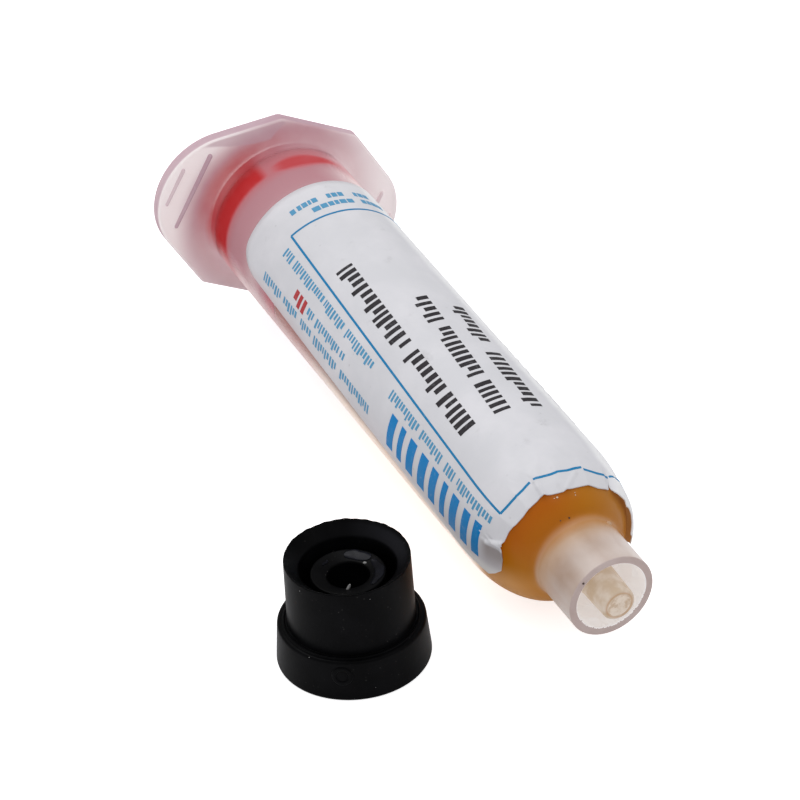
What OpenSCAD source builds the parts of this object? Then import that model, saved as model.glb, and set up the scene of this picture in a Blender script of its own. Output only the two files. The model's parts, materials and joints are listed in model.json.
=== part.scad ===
// Dispensing syringe of soldering flux, lying on its side with its tip cap taken off.
// Millimetres. +X is the way the nozzle points, +Z is up, and Z = 0 is the surface it lies on.
// The barrel is drawn along its own axis, with its rear face at 0, and is then laid down.

/* [Tube] */
// Outside diameter of the tube
tube_d = 18.4; // [16.5:0.1:22.2]
// Diameter of the bore that the piston runs in
bore_d = 15.9; // [13.2:0.1:16.4]
// From the flange's rear face to where the shoulder starts
tube_length = 66.4; // [55:0.5:80]
// Widening of the bore at the rear mouth
mouth_chamfer = 0.5; // [0.2:0.1:0.8]

/* [Finger flange] */
// Length over both wings
flange_length = 34; // [31:0.5:41]
// Width across the flat sides
flange_width = 23.2; // [22.6:0.1:28]
// Length of each flat side
flange_flat = 11.2; // [9:0.1:13]
// Angle between a flat side and the slanted side next to it
flange_slope = 30.5; // [26:0.5:34]
// Thickness of the plate
flange_t = 1.6; // [1.2:0.1:2.4]
// Rounding of its four corners
flange_corner_r = 1.2; // [0.5:0.1:2]
// Rounding between the plate and the tube
neck_fillet = 1.5; // [0.5:0.1:2]
// Length of the long grip rib on each wing
long_rib_length = 9.6; // [6:0.1:11]
// Length of the short grip rib on each wing
short_rib_length = 5; // [3:0.1:6]
// Width of a grip rib
rib_w = 0.8; // [0.5:0.1:1.2]
// Height of a grip rib
rib_h = 0.45; // [0.2:0.05:0.8]
// From the end of a wing to its short rib
rib_inset = 1.5; // [1.2:0.1:2.5]
// From the short rib to the long rib
rib_pitch = 2.4; // [1.8:0.1:3]

/* [Shoulder and nozzle] */
// Length of the domed shoulder
shoulder_length = 10; // [8:0.5:12]
// Diameter that the dome draws in to
shoulder_front_d = 8.4; // [7:0.1:9]
// Wall at the front of the dome
shoulder_wall = 1.2; // [0.9:0.1:1.6]
// From the start of the shoulder to the collar's open end
nozzle_length = 17.5; // [16.5:0.5:21]
// Outside diameter of the lock collar
collar_d = 10.2; // [9.6:0.1:12.2]
// Inside diameter of the lock collar
collar_bore_d = 8.4; // [6.9:0.1:8.6]
// Depth inside the lock collar
collar_depth = 7; // [5:0.1:7.5]
// Rounding where the collar meets the dome
collar_fillet = 0.7; // [0.3:0.1:1]
// How far the tip stands out of the collar
tip_reach = 1.7; // [1:0.1:2.5]
// Diameter of the tip at its end
tip_end_d = 3.95; // [3.7:0.05:4.1]
// Diameter of the tip at the collar's floor
tip_base_d = 4.45; // [4.2:0.05:5.3]
// Bore of the tip
tip_bore_d = 2.5; // [1.5:0.1:2.8]
// Chamfer round the end of the tip
tip_chamfer = 0.25; // [0.1:0.05:0.4]

/* [Piston] */
// From the flange's rear face to the piston
piston_inset = 1.9; // [0.6:0.1:6]
// From the piston's rear to its front lip
piston_skirt = 17; // [14:0.5:21]
// Width of the rear lip
rear_lip_w = 3.4; // [1:0.1:4]
// Width of the front lip
front_lip_w = 5.8; // [1:0.1:6.5]
// Radial clearance of the lips in the bore
lip_clear = 0.04; // [0.02:0.01:0.08]
// How far the body lies inside the lips
piston_relief = 0.75; // [0.4:0.05:1.2]
// Wall of the hollow piston
piston_wall = 1.2; // [0.9:0.1:1.6]
// Clearance between the nose and the shoulder at the end of the travel
nose_clear = 0.15; // [0.1:0.05:0.4]

/* [Flux] */
// Clearance round the fill
flux_clear = 0.04; // [0.02:0.01:0.1]
// Clearance between the fill and the piston's nose
flux_nose_clear = 0.12; // [0.05:0.01:0.3]
// How far the fill stays back in the tip
flux_setback = 0.2; // [0.1:0.1:2]

/* [Label] */
// From the flange's rear face to the label
label_start = 11.3; // [6:0.1:20]
// How far the label reaches over the shoulder
label_over = 5; // [0.5:0.5:5]
// Thickness of the label
label_t = 0.15; // [0.1:0.01:0.3]
// Angle that the label wraps
label_wrap = 260; // [180:5:265]
// Angle from the lowest line of the tube to the label's near edge
label_edge = 85; // [75:1:90]

/* [Tip cap] */
// Height of the cap
cap_h = 13.2; // [12:0.1:16]
// Wall of the cap round its groove, at the rim
cap_wall = 1.6; // [1.2:0.1:2.2]
// Draft of the cap's body over its height
cap_draft = 0.13; // [0:0.01:0.3]
// Height of the grip ring at the base
cap_ring_h = 5; // [3:0.1:6]
// How far the grip ring stands out at its top
cap_ring_out = 1.1; // [0.8:0.1:2]
// Flare of the grip ring towards the base
cap_ring_flare = 0.4; // [0:0.1:0.8]
// Depth of the sloping inner rim
cap_rim_drop = 1.4; // [0.8:0.1:1.8]
// How far the centre post stays below the rim
cap_post_drop = 2.1; // [1.8:0.1:2.6]
// Clearance of the groove round the collar
cap_groove_clear = 0.2; // [0.1:0.05:0.25]
// Clearance of the post inside the collar
cap_post_clear = 0.06; // [0.03:0.01:0.15]
// Clearance of the socket round the tip
cap_socket_clear = 0.05; // [0.02:0.01:0.12]
// Thickness of the cap's end
cap_floor = 1.6; // [1:0.1:2]
// Radius of the round gate mark on the grip ring
gate_r = 0.95; // [0.6:0.05:1.4]

/* [Lying on the surface] */
// From the barrel's axis sideways to the cap's axis
cap_side = 23.9; // [20.5:0.1:40]
// From the collar's open end back to the cap's axis
cap_back = 15.2; // [0:0.1:40]

/* [Hidden] */
$fn = 96;
overlap = 0.05;
arc_steps = 14;
fillet_steps = 6;

tube_r = tube_d / 2;
bore_r = bore_d / 2;
collar_r = collar_d / 2;
collar_in_r = collar_bore_d / 2;
tip_bore_r = tip_bore_d / 2;
collar_end = tube_length + nozzle_length;
tip_end = collar_end + tip_reach;
collar_floor = collar_end - collar_depth;
shoulder_drop = tube_r - shoulder_front_d / 2;
inner_shoulder = shoulder_length - shoulder_wall;
inner_drop = bore_r - shoulder_front_d / 2 + shoulder_wall;

// Flange outline: flats, slanted flanks and end arcs that the flanks run into
flank_reach = flange_flat / 2 * sin(flange_slope) + flange_width / 2 * cos(flange_slope);
wing_r = (flank_reach - flange_length / 2 * sin(flange_slope)) / (1 - sin(flange_slope));
wing_c = flange_length / 2 - wing_r;
corner_x = flange_flat / 2 - flange_corner_r * tan(flange_slope / 2);
corner_y = flange_width / 2 - flange_corner_r;
short_rib_at = flange_length / 2 - rib_inset;
long_rib_at = short_rib_at - rib_pitch;

// The syringe rests on one slanted flank of the flange and on the start of the shoulder
function dome_bulge(a) =
    sqrt(pow(shoulder_drop, 2) + pow(shoulder_length * tan(a), 2)) - shoulder_drop;
function settle(n) = n == 0 ? 0 :
    atan((flank_reach - tube_r - dome_bulge(settle(n - 1))) / (tube_length - flange_t));
rest_tilt = settle(5);
rest_height = flank_reach * cos(rest_tilt) + flange_t * sin(rest_tilt);

// Piston places along the barrel's axis
lip_r = bore_r - lip_clear;
piston_body_r = lip_r - piston_relief;
piston_in_r = piston_body_r - piston_wall;
piston_lip = piston_inset + piston_skirt;
nose_length = inner_shoulder - nose_clear;
nose_r = bore_r - nose_clear;

// Cap radii follow the collar, the tip and their clearances
groove_r = collar_r + cap_groove_clear;
post_r = collar_in_r - cap_post_clear;
socket_r = tip_base_d / 2 + cap_socket_clear;
cap_top_r = groove_r + cap_wall;
cap_body_r = cap_top_r + cap_draft;
ring_top_r = cap_body_r + cap_ring_out;
ring_base_r = ring_top_r + cap_ring_flare;
cap_edge = 0.3;
post_top = cap_h - cap_post_drop;
groove_floor = post_top - collar_depth;
socket_floor = post_top - collar_depth - tip_reach;
foot_w = 1.6;
foot_recess = min(0.5, cap_floor / 2);

// Middle of the whole, so that the origin lies under it
wing_reach = wing_c * cos(flange_slope) + wing_r;
low_x = -flank_reach * sin(rest_tilt);
high_x = tip_end * cos(rest_tilt) + (tip_end_d / 2 - tip_chamfer) * sin(rest_tilt);
low_y = -cap_side - ring_base_r;
mid_x = (low_x + high_x) / 2;
mid_y = (low_y + wing_reach) / 2;
cap_x = collar_end * cos(rest_tilt) - cap_back - mid_x;
cap_y = -cap_side - mid_y;
gate_turn = -34;

// Quarter of an ellipse that draws in from radius r at height z
function dome(r, z, length, drop, from, to) = [
    for (i = [0:arc_steps])
        let (t = from + (to - from) * i / arc_steps)
            [r - drop * (1 - cos(t)), z + length * sin(t)]
];

// Curve from a to c that bends towards b
function bend(a, b, c) = [
    for (i = [0:fillet_steps])
        let (t = i / fillet_steps)
            a * (1 - t) * (1 - t) + b * 2 * t * (1 - t) + c * t * t
];

// Angle on a dome at which it has drawn in to radius r
function dome_angle(start_r, drop, r) = acos(1 - (start_r - r) / drop);

module laid_down() {
    translate([-mid_x, -mid_y, rest_height])
        rotate([0, 90 + rest_tilt, 0])
            children();
}

module flange_outline() {
    wing_x = wing_c + wing_r * sin(flange_slope);
    wing_y = wing_r * cos(flange_slope);
    cut_x = corner_x + flange_corner_r * sin(flange_slope);
    cut_y = corner_y + flange_corner_r * cos(flange_slope);
    side = [[wing_x, wing_y], [cut_x, cut_y], [corner_x, flange_width / 2]];
    polygon([
        for (p = side) p,
        for (i = [2:-1:0]) [-side[i].x, side[i].y],
        for (p = side) [-p.x, -p.y],
        for (i = [2:-1:0]) [side[i].x, -side[i].y]
    ]);
    for (sx = [-1, 1]) {
        translate([sx * wing_c, 0])
            circle(r = wing_r);
        for (sy = [-1, 1])
            translate([sx * corner_x, sy * corner_y])
                circle(r = flange_corner_r);
    }
}

module grip_rib(length) {
    straight = length - rib_w;
    translate([-rib_w / 2, -straight / 2, -overlap])
        cube([rib_w, straight, rib_h + overlap]);
    for (s = [-1, 1])
        translate([0, s * straight / 2, -overlap])
            cylinder(h = rib_h + overlap, d = rib_w);
}

module flange() {
    difference() {
        linear_extrude(flange_t)
            flange_outline();
        translate([0, 0, -1])
            cylinder(h = flange_t + 2, r = tube_r - overlap);
    }
    for (turn = [0, 180])
        rotate([0, 0, turn]) {
            translate([long_rib_at, 0, flange_t])
                grip_rib(long_rib_length);
            translate([short_rib_at, 0, flange_t])
                grip_rib(short_rib_length);
        }
}

// Half section of the moulding: tube, dome, lock collar and taper tip
module barrel_section() {
    dome_cut = dome_angle(tube_r, shoulder_drop, collar_r + collar_fillet);
    dome_end = tube_length + shoulder_length * sin(dome_cut);
    collar_foot = tube_length + shoulder_length * sin(dome_angle(tube_r, shoulder_drop, collar_r));
    polygon([
        [bore_r + mouth_chamfer, 0],
        [bore_r, mouth_chamfer],
        for (p = dome(bore_r, tube_length, inner_shoulder, inner_drop, 0, 90)) p,
        [tip_bore_r, tube_length + inner_shoulder + shoulder_wall],
        [tip_bore_r, tip_end],
        [tip_end_d / 2 - tip_chamfer, tip_end],
        [tip_end_d / 2, tip_end - tip_chamfer],
        [tip_base_d / 2, collar_floor],
        [collar_in_r, collar_floor],
        [collar_in_r, collar_end],
        [collar_r, collar_end],
        for (p = bend([collar_r, collar_foot + collar_fillet], [collar_r, collar_foot],
                      [collar_r + collar_fillet, dome_end])) p,
        for (p = dome(tube_r, tube_length, shoulder_length, shoulder_drop, dome_cut * 0.93, 0)) p,
        [tube_r, flange_t + neck_fillet],
        for (i = [1:fillet_steps])
            let (t = 90 * i / fillet_steps)
                [tube_r + neck_fillet * (1 - cos(t)), flange_t + neck_fillet * (1 - sin(t))],
        [tube_r + neck_fillet, 0]
    ]);
}

module barrel() {
    color([0.90, 0.86, 0.85, 0.5])
        laid_down()
            union() {
                rotate_extrude()
                    barrel_section();
                rotate([0, 0, 90 - flange_slope])
                    flange();
            }
}

// Hollow cup with two wiping lips and a nose that fits the shoulder
module piston_section() {
    hollow_end = piston_lip - piston_wall;
    step = lip_r - piston_body_r;
    polygon([
        [piston_in_r, piston_inset],
        [piston_in_r, hollow_end],
        for (p = dome(piston_in_r, hollow_end, nose_length - piston_wall, piston_in_r, 8, 90)) p,
        [0, piston_lip + nose_length],
        for (p = dome(nose_r, piston_lip, nose_length, inner_drop, 90, 6)) p,
        [lip_r, piston_lip],
        [lip_r, piston_lip - front_lip_w],
        [piston_body_r, piston_lip - front_lip_w - step],
        [piston_body_r, piston_inset + rear_lip_w + step],
        [lip_r, piston_inset + rear_lip_w],
        [lip_r, piston_inset]
    ]);
}

module piston() {
    color([0.78, 0.12, 0.13])
        laid_down()
            rotate_extrude()
                piston_section();
}

module flux_section() {
    seat = 15;
    polygon([
        [0, piston_lip + nose_length + flux_nose_clear],
        for (p = dome(nose_r + flux_nose_clear, piston_lip + flux_nose_clear, nose_length,
                      inner_drop, 90, seat)) p,
        [bore_r - flux_clear, piston_lip + flux_nose_clear + nose_length * sin(seat)],
        for (p = dome(bore_r - flux_clear, tube_length, inner_shoulder - flux_clear,
                      inner_drop, 0, 90)) p,
        [tip_bore_r - flux_clear, tube_length + inner_shoulder + shoulder_wall],
        [tip_bore_r - flux_clear, tip_end - flux_setback],
        [0, tip_end - flux_setback]
    ]);
}

module flux_paste() {
    color([0.68, 0.40, 0.10])
        laid_down()
            rotate_extrude()
                flux_section();
}

module label_section() {
    front = asin(label_over / shoulder_length);
    outer = dome(tube_r + label_t, tube_length, shoulder_length, shoulder_drop, 0, front);
    inner = dome(tube_r, tube_length, shoulder_length, shoulder_drop, front, 0);
    polygon([
        [tube_r + label_t, label_start],
        for (p = outer) p,
        for (p = inner) p,
        [tube_r, label_start]
    ]);
}

module label() {
    color("white")
        laid_down()
            rotate([0, 0, -label_edge - label_wrap])
                rotate_extrude(angle = label_wrap)
                    label_section();
}

module cap_section() {
    funnel_drop = 0.5;
    polygon([
        [0, foot_recess],
        [ring_base_r - foot_w - foot_recess, foot_recess],
        [ring_base_r - foot_w, 0],
        [ring_base_r - cap_edge, 0],
        [ring_base_r, cap_edge],
        [ring_top_r, cap_ring_h - cap_edge],
        [ring_top_r - cap_edge, cap_ring_h],
        [cap_body_r, cap_ring_h],
        [cap_top_r, cap_h - cap_edge],
        [cap_top_r - cap_edge, cap_h],
        [groove_r, cap_h - cap_rim_drop],
        [groove_r, groove_floor],
        [post_r, groove_floor],
        [post_r, post_top - cap_edge],
        [post_r - cap_edge, post_top],
        [socket_r, post_top - funnel_drop],
        [socket_r, socket_floor],
        [0, socket_floor]
    ]);
}

module tip_cap() {
    gate_z = cap_ring_h * 0.65;
    gate_at = (ring_base_r + ring_top_r) / 2;
    gate_depth = 0.15;
    color([0.07, 0.07, 0.08])
        translate([cap_x, cap_y, 0])
            difference() {
                rotate_extrude()
                    cap_section();
                rotate([0, 0, gate_turn])
                    translate([gate_at - gate_depth, 0, gate_z])
                        rotate([0, 90, 0])
                            cylinder(h = 2, r = gate_r);
            }
}

barrel();
piston();
flux_paste();
label();
tip_cap();
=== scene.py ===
import bpy
import bmesh
import json
import math
import numpy as np
from mathutils import Matrix, Vector


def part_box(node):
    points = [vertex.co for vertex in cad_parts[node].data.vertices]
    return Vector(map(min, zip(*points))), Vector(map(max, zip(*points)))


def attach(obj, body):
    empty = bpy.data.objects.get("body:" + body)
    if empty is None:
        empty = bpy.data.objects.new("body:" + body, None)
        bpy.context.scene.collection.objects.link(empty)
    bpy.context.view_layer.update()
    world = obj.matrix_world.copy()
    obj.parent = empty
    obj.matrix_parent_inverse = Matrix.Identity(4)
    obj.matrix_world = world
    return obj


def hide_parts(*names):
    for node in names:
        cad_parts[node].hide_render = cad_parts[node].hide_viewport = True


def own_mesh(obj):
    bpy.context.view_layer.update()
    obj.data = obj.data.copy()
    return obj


# A flux syringe lying on a pale table, its tip cap standing beside it.
# Sizes are in millimetres along the barrel's own axis, measured from the flange's rear face.
# An angle of 0 points to the cap's side, 90 is up, and both are seen across the axis.

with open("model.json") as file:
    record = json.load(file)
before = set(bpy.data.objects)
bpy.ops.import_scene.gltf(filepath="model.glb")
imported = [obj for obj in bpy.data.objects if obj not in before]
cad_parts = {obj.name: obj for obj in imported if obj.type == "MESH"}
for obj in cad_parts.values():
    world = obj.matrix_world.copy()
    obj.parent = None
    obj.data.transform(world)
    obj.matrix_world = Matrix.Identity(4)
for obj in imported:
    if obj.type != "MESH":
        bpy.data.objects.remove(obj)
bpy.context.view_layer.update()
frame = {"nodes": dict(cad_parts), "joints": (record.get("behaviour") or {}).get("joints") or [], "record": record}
mm = 0.001
print("frame loaded:", sorted(frame["nodes"]))

# Where the syringe lies
tipEnd = 85.6  # from the flange's rear face to the end of the tip
nozzleMount = [m for m in frame["record"]["mounts"] if m["name"] == "nozzle"][0]
slideJoint = [j for j in frame["joints"] if j["name"] == "piston_slide"][0]
axisWay = np.array(slideJoint["axis"], float)
axisWay /= np.linalg.norm(axisWay)
sideWay = np.array([0.0, -1.0, 0.0])
upWay = np.cross(sideWay, axisWay)
upWay *= np.sign(upWay[2])
rearPlace = np.array(nozzleMount["pos_m"], float) / mm - axisWay * tipEnd


def around(z, r, angle):
    # point = rear + z along the axis + r (cos angle to the side + sin angle up)
    z, r, angle = np.broadcast_arrays(z, r, np.radians(angle))
    return (rearPlace + z[..., None] * axisWay
            + (r * np.cos(angle))[..., None] * sideWay + (r * np.sin(angle))[..., None] * upWay)


def ringAngles(count):
    # one row of angles spread evenly over a full turn
    return (np.arange(count) * 360 / count)[None, :]


def signedAngle(angle):
    # the same angle from -180 to 180
    return (angle + 180) % 360 - 180


def byAngle(angle, table):
    # a value that changes evenly between the angles that the table names
    return np.interp(angle, list(table), list(table.values()))


def smoothStep(x, low, high):
    # 0 below low, 1 above high, and 3t^2 - 2t^3 between
    t = np.clip((x - low) / (high - low), 0, 1)
    return t * t * (3 - 2 * t)


def fade(x, low, high):
    # the reverse of smoothStep: 1 below low and 0 above high
    return 1 - smoothStep(x, low, high)


# Meshes

def placeObject(name, data):
    piece = bpy.data.objects.new(name, data)
    bpy.context.scene.collection.objects.link(piece)
    return piece


def shadeFaces(mesh, smooth):
    mesh.polygons.foreach_set("use_smooth", np.full(len(mesh.polygons), smooth))


def gridPiece(name, points, wrapRows=False, wrapCols=False, masks=None, outward=True):
    # quads between neighbours of a rows x cols grid of points in mm, poles and seams merged
    rows, cols = points.shape[:2]
    index = np.arange(rows * cols).reshape(rows, cols)
    if wrapRows:
        index = np.vstack([index, index[:1]])
    if wrapCols:
        index = np.hstack([index, index[:, :1]])
    quads = np.stack([index[:-1, :-1], index[1:, :-1], index[1:, 1:], index[:-1, 1:]], -1).reshape(-1, 4)
    mesh = bpy.data.meshes.new(name)
    mesh.vertices.add(rows * cols)
    mesh.vertices.foreach_set("co", (points * mm).astype(np.float32).ravel())
    mesh.loops.add(quads.size)
    mesh.loops.foreach_set("vertex_index", quads.astype(np.int32).ravel())
    mesh.polygons.add(len(quads))
    mesh.polygons.foreach_set("loop_start", np.arange(0, quads.size, 4, dtype=np.int32))
    mesh.update(calc_edges=True)
    for key, values in (masks or {}).items():
        layer = mesh.attributes.new(key, "FLOAT", "POINT")
        layer.data.foreach_set("value", np.broadcast_to(values, (rows, cols)).astype(np.float32).ravel())
    work = bmesh.new()
    work.from_mesh(mesh)
    bmesh.ops.remove_doubles(work, verts=work.verts, dist=1e-7)
    bmesh.ops.dissolve_degenerate(work, edges=work.edges, dist=1e-8)
    if outward and work.calc_volume(signed=True) < 0:
        bmesh.ops.reverse_faces(work, faces=work.faces)
    work.to_mesh(mesh)
    work.free()
    shadeFaces(mesh, True)
    mesh.update()
    return placeObject(name, mesh)


def turnedPiece(name, profile, turns=192, masks=None):
    # a closed loop of (r, z) turned about the barrel's axis: point = around(z, r, angle)
    angle = ringAngles(turns)
    values = masks(profile[:, 1:], signedAngle(angle)) if masks else None
    return gridPiece(name, around(profile[:, 1:], profile[:, :1], angle), wrapRows=True, wrapCols=True,
                     masks=values)


def joinPieces(name, pieces, smooth=True):
    # one mesh out of several, each already in place
    work = bmesh.new()
    for piece in pieces:
        work.from_mesh(piece.data)
        bpy.data.objects.remove(piece)
    mesh = bpy.data.meshes.new(name)
    work.to_mesh(mesh)
    work.free()
    shadeFaces(mesh, smooth)
    return placeObject(name, mesh)


def dropPiece(name, centre, size, squash=1.0, masks=None):
    # a small ball: centre + size (cos u cos v, cos u sin v, squash sin u)
    u = np.radians(np.linspace(-90, 90, 9))[:, None]
    v = np.radians(ringAngles(14))
    ball = np.stack([np.cos(u) * np.cos(v), np.cos(u) * np.sin(v), squash * np.sin(u) + 0 * v], -1)
    return gridPiece(name, np.asarray(centre) + size * ball, wrapCols=True, masks=masks)


def slabPiece(name, top, under):
    # an open grid and the same grid a little lower, joined all round into one closed slab
    ringed = np.concatenate([under[:, :1], top, under[:, -1:], under[:, ::-1][:, 1:-1]], 1)
    first = np.repeat(ringed.mean(1, keepdims=True)[:1], ringed.shape[1], 1)
    last = np.repeat(ringed.mean(1, keepdims=True)[-1:], ringed.shape[1], 1)
    return gridPiece(name, np.concatenate([first, ringed, last], 0), wrapCols=True)


def roundedPath(corners, steps=5, spacing=1.0):
    # a closed path through (r, z, rounding) corners: corners are quadratic bends, sides are split evenly
    pts = np.array([c[:2] for c in corners], float)
    cut = np.array([c[2] for c in corners], float)
    before, after = np.roll(pts, 1, 0) - pts, np.roll(pts, -1, 0) - pts
    before /= np.linalg.norm(before, axis=1)[:, None]
    after /= np.linalg.norm(after, axis=1)[:, None]
    starts, ends = pts + before * cut[:, None], pts + after * cut[:, None]
    t = np.linspace(0, 1, steps + 1)[:, None]
    path = []
    for i in range(len(pts)):
        bend = (1 - t) ** 2 * starts[i] + 2 * t * (1 - t) * pts[i] + t * t * ends[i]
        path.append(bend if cut[i] > 0 else pts[i:i + 1])
        following = starts[(i + 1) % len(pts)]
        count = int(np.linalg.norm(following - ends[i]) // spacing)
        s = np.linspace(0, 1, count + 2)[1:-1, None]
        path.append(ends[i] * (1 - s) + following * s)
    return np.vstack(path)


def domeCurve(startR, endR, startZ, length, fromTurn, toTurn, steps=28):
    # quarter ellipse: r = startR - (startR - endR)(1 - cos t), z = startZ + length sin t
    t = np.radians(np.linspace(fromTurn, toTurn, steps))
    return np.stack([startR - (startR - endR) * (1 - np.cos(t)), startZ + length * np.sin(t)], -1)


nodeParts = {
    # the body that each CAD node moves with, and its colour slot
    "barrel": ("barrel", "barrel_plastic"), "piston": ("piston", "piston_plastic"),
    "flux_paste": ("barrel", "flux"), "label": ("barrel", "label_film"), "tip_cap": ("barrel", "cap_plastic"),
}


def finishPiece(piece, material, node, sharpAngle=None):
    if material:
        piece.data.materials.append(material)
    if sharpAngle:
        piece.data.set_sharp_from_angle(angle=math.radians(sharpAngle))
    body, slotName = nodeParts[node]
    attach(piece, body)
    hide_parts(node)
    return piece


# Materials

def srgb(code):
    # a colour as printed, such as "A5672E", in the linear values that the shader wants
    c = np.array([int(code[i:i + 2], 16) / 255 for i in (0, 2, 4)])
    lin = np.where(c <= 0.04045, c / 12.92, ((c + 0.055) / 1.055) ** 2.4)
    return (*lin.tolist(), 1.0)


class Nodes:
    # short ways to place and join shader nodes
    def __init__(self, tree, across=0):
        self.tree = tree
        self.across = across

    def add(self, kind, inputs=None, **settings):
        node = self.tree.nodes.new(kind)
        self.across += 180
        node.location = (self.across, 0)
        for key, value in settings.items():
            setattr(node, key, value)
        for key, value in (inputs or {}).items():
            self.put(node.inputs[key], value)
        return node

    def put(self, socket, value):
        if isinstance(value, bpy.types.NodeSocket):
            self.tree.links.new(value, socket)
        else:
            socket.default_value = value

    def math(self, operation, a, b=0.0, clamp=False):
        return self.add("ShaderNodeMath", {0: a, 1: b}, operation=operation, use_clamp=clamp).outputs[0]

    def times(self, *values):
        total = values[0]
        for value in values[1:]:
            total = self.math("MULTIPLY", total, value)
        return total

    def ramp(self, value, low, high, start=0.0, end=1.0):
        return self.add("ShaderNodeMapRange", {0: value, 1: low, 2: high, 3: start, 4: end},
                        interpolation_type="SMOOTHSTEP").outputs[0]

    def mix(self, factor, a, b):
        return self.add("ShaderNodeMix", {0: factor, 6: a, 7: b}, data_type="RGBA").outputs[2]

    def mixValue(self, factor, a, b):
        return self.add("ShaderNodeMix", {0: factor, 2: a, 3: b}, data_type="FLOAT").outputs[0]

    def mask(self, name):
        return self.add("ShaderNodeAttribute", attribute_name=name).outputs["Fac"]

    def place(self):
        return self.add("ShaderNodeTexCoord").outputs["Object"]

    def noise(self, vector, scale, detail=3.0, roughness=0.5):
        return self.add("ShaderNodeTexNoise", {"Vector": vector, "Scale": scale, "Detail": detail,
                                               "Roughness": roughness}).outputs["Fac"]

    def varied(self, scale, low=0.0, high=1.0):
        # a value that a noise of that scale moves between low and high
        return self.ramp(self.noise(self.place(), scale), 0.3, 0.7, low, high)

    def group(self, tree, **values):
        node = self.add("ShaderNodeGroup", node_tree=tree)
        for key, value in values.items():
            node.inputs[key.replace("_", " ")].default_value = value
        return node.outputs


def makeGroup(name, inputs, outputs):
    group = bpy.data.node_groups.new(name, "ShaderNodeTree")
    for key, value in inputs.items():
        socket = group.interface.new_socket(name=key, in_out="INPUT", socket_type="NodeSocketFloat")
        socket.default_value = value
    for key, kind in outputs.items():
        group.interface.new_socket(name=key, in_out="OUTPUT", socket_type=kind)
    n = Nodes(group)
    return group, n, n.add("NodeGroupInput").outputs, n.add("NodeGroupOutput").inputs


def buildMouldedGrain():
    # faint flow and pitting of a moulded plastic: a roughness and a height, both in object space
    group, n, given, out = makeGroup("mouldedGrain", {"Rough": 0.3, "Spread": 0.08, "Pit Size": 2500.0},
                                     {"Roughness": "NodeSocketFloat", "Height": "NodeSocketFloat"})
    place = n.place()
    broad = n.noise(place, 220.0, 2.0)
    fine = n.noise(place, given["Pit Size"], 4.0, 0.6)
    shift = n.times(n.math("SUBTRACT", broad, 0.5), given["Spread"])
    n.put(out["Roughness"], n.math("ADD", given["Rough"], shift, clamp=True))
    n.put(out["Height"], n.math("ADD", fine, n.times(broad, 2.0)))
    return group


def buildTableDust():
    # sparse pale motes and rubs: 1 on a mote, 0 elsewhere
    group, n, given, out = makeGroup("tableDust", {"Amount": 0.5, "Scale": 900.0},
                                     {"Dust": "NodeSocketFloat"})
    place = n.place()
    cells = n.add("ShaderNodeTexVoronoi", {"Vector": place, "Scale": given["Scale"]})
    dots = n.ramp(cells.outputs["Distance"], 0.0, 0.16, 1.0, 0.0)
    patches = n.ramp(n.noise(place, 300.0), 0.5, 0.62)
    n.put(out["Dust"], n.times(dots, patches, given["Amount"]))
    return group


fluxLook = {
    "deep": srgb("BE6300"), "mid": srgb("C37810"), "pale": srgb("C28440"), "start": srgb("A16B68"),
    "foot": srgb("B07C44"), "low": srgb("EAA65A"), "dark": srgb("0A0400"), "underShade": srgb("785E53"),
    "residue": srgb("D6C7B8"), "residueDeep": srgb("BBA38A"), "grit": srgb("3C2F2C"),
    "gritPale": srgb("6A5448"), "glow": 0.2,
}


def buildFluxTone():
    # amber by place: deep where the light falls straight in, paler round the sides and at the foot
    group, n, given, out = makeGroup("fluxTone", {"Swirl": 14.0}, {"Color": "NodeSocketColor"})
    look = fluxLook
    along, turn = n.mask("alongAxis"), n.mask("roundAxis")
    swirl = n.times(n.math("SUBTRACT", n.noise(n.place(), 90.0, 3.0), 0.5), given["Swirl"])
    away = n.math("ADD", n.math("ABSOLUTE", n.math("SUBTRACT", turn, 50.0)), swirl)
    tone = n.mix(n.ramp(away, 18.0, 60.0), look["deep"], look["mid"])
    tone = n.mix(n.ramp(away, 46.0, 100.0), tone, look["pale"])
    # painted light: the underside is lighter
    under = n.times(n.ramp(turn, -26.0, 4.0, 1.0, 0.0), n.ramp(turn, -175.0, -120.0))
    tone = n.mix(under, tone, look["low"])
    # the label throws a shade on the strip just below its edge
    shade = n.times(n.ramp(turn, -22.0, -8.0, 0.0, 0.9), n.ramp(along, 56.0, 66.0, 1.0, 0.0),
                    n.ramp(turn, 10.0, 16.0, 1.0, 0.0))
    tone = n.mix(shade, tone, look["underShade"])
    tone = n.mix(n.ramp(along, 73.8, 76.2, 0.0, 0.5), tone, look["mid"])
    tone = n.mix(n.ramp(along, 66.0, 70.0, 0.0, 0.34), tone, look["dark"])
    tone = n.mix(n.ramp(along, 75.7, 77.2, 0.0, 0.8), tone, look["foot"])
    tone = n.mix(n.ramp(along, 22.0, 40.0, 0.85, 0.0), tone, look["start"])
    n.put(out["Color"], tone)
    return group


mouldedGrain = buildMouldedGrain()
fluxTone = buildFluxTone()
tableDust = buildTableDust()


def newMaterial(name, **constants):
    material = bpy.data.materials.new(name)
    material.use_nodes = True
    shader = material.node_tree.nodes["Principled BSDF"]
    for key, value in constants.items():
        shader.inputs[key.replace("_", " ")].default_value = value
    return material, Nodes(material.node_tree, -1600), shader


def paint(n, shader, colour, roughness=None, glow=None):
    # the base colour, its roughness, and the light that a milky plastic carries through itself
    n.put(shader.inputs["Base Color"], colour)
    if roughness is not None:
        n.put(shader.inputs["Roughness"], roughness)
    if glow is not None:
        n.put(shader.inputs["Emission Color"], colour)
        n.put(shader.inputs["Emission Strength"], glow)


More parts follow.
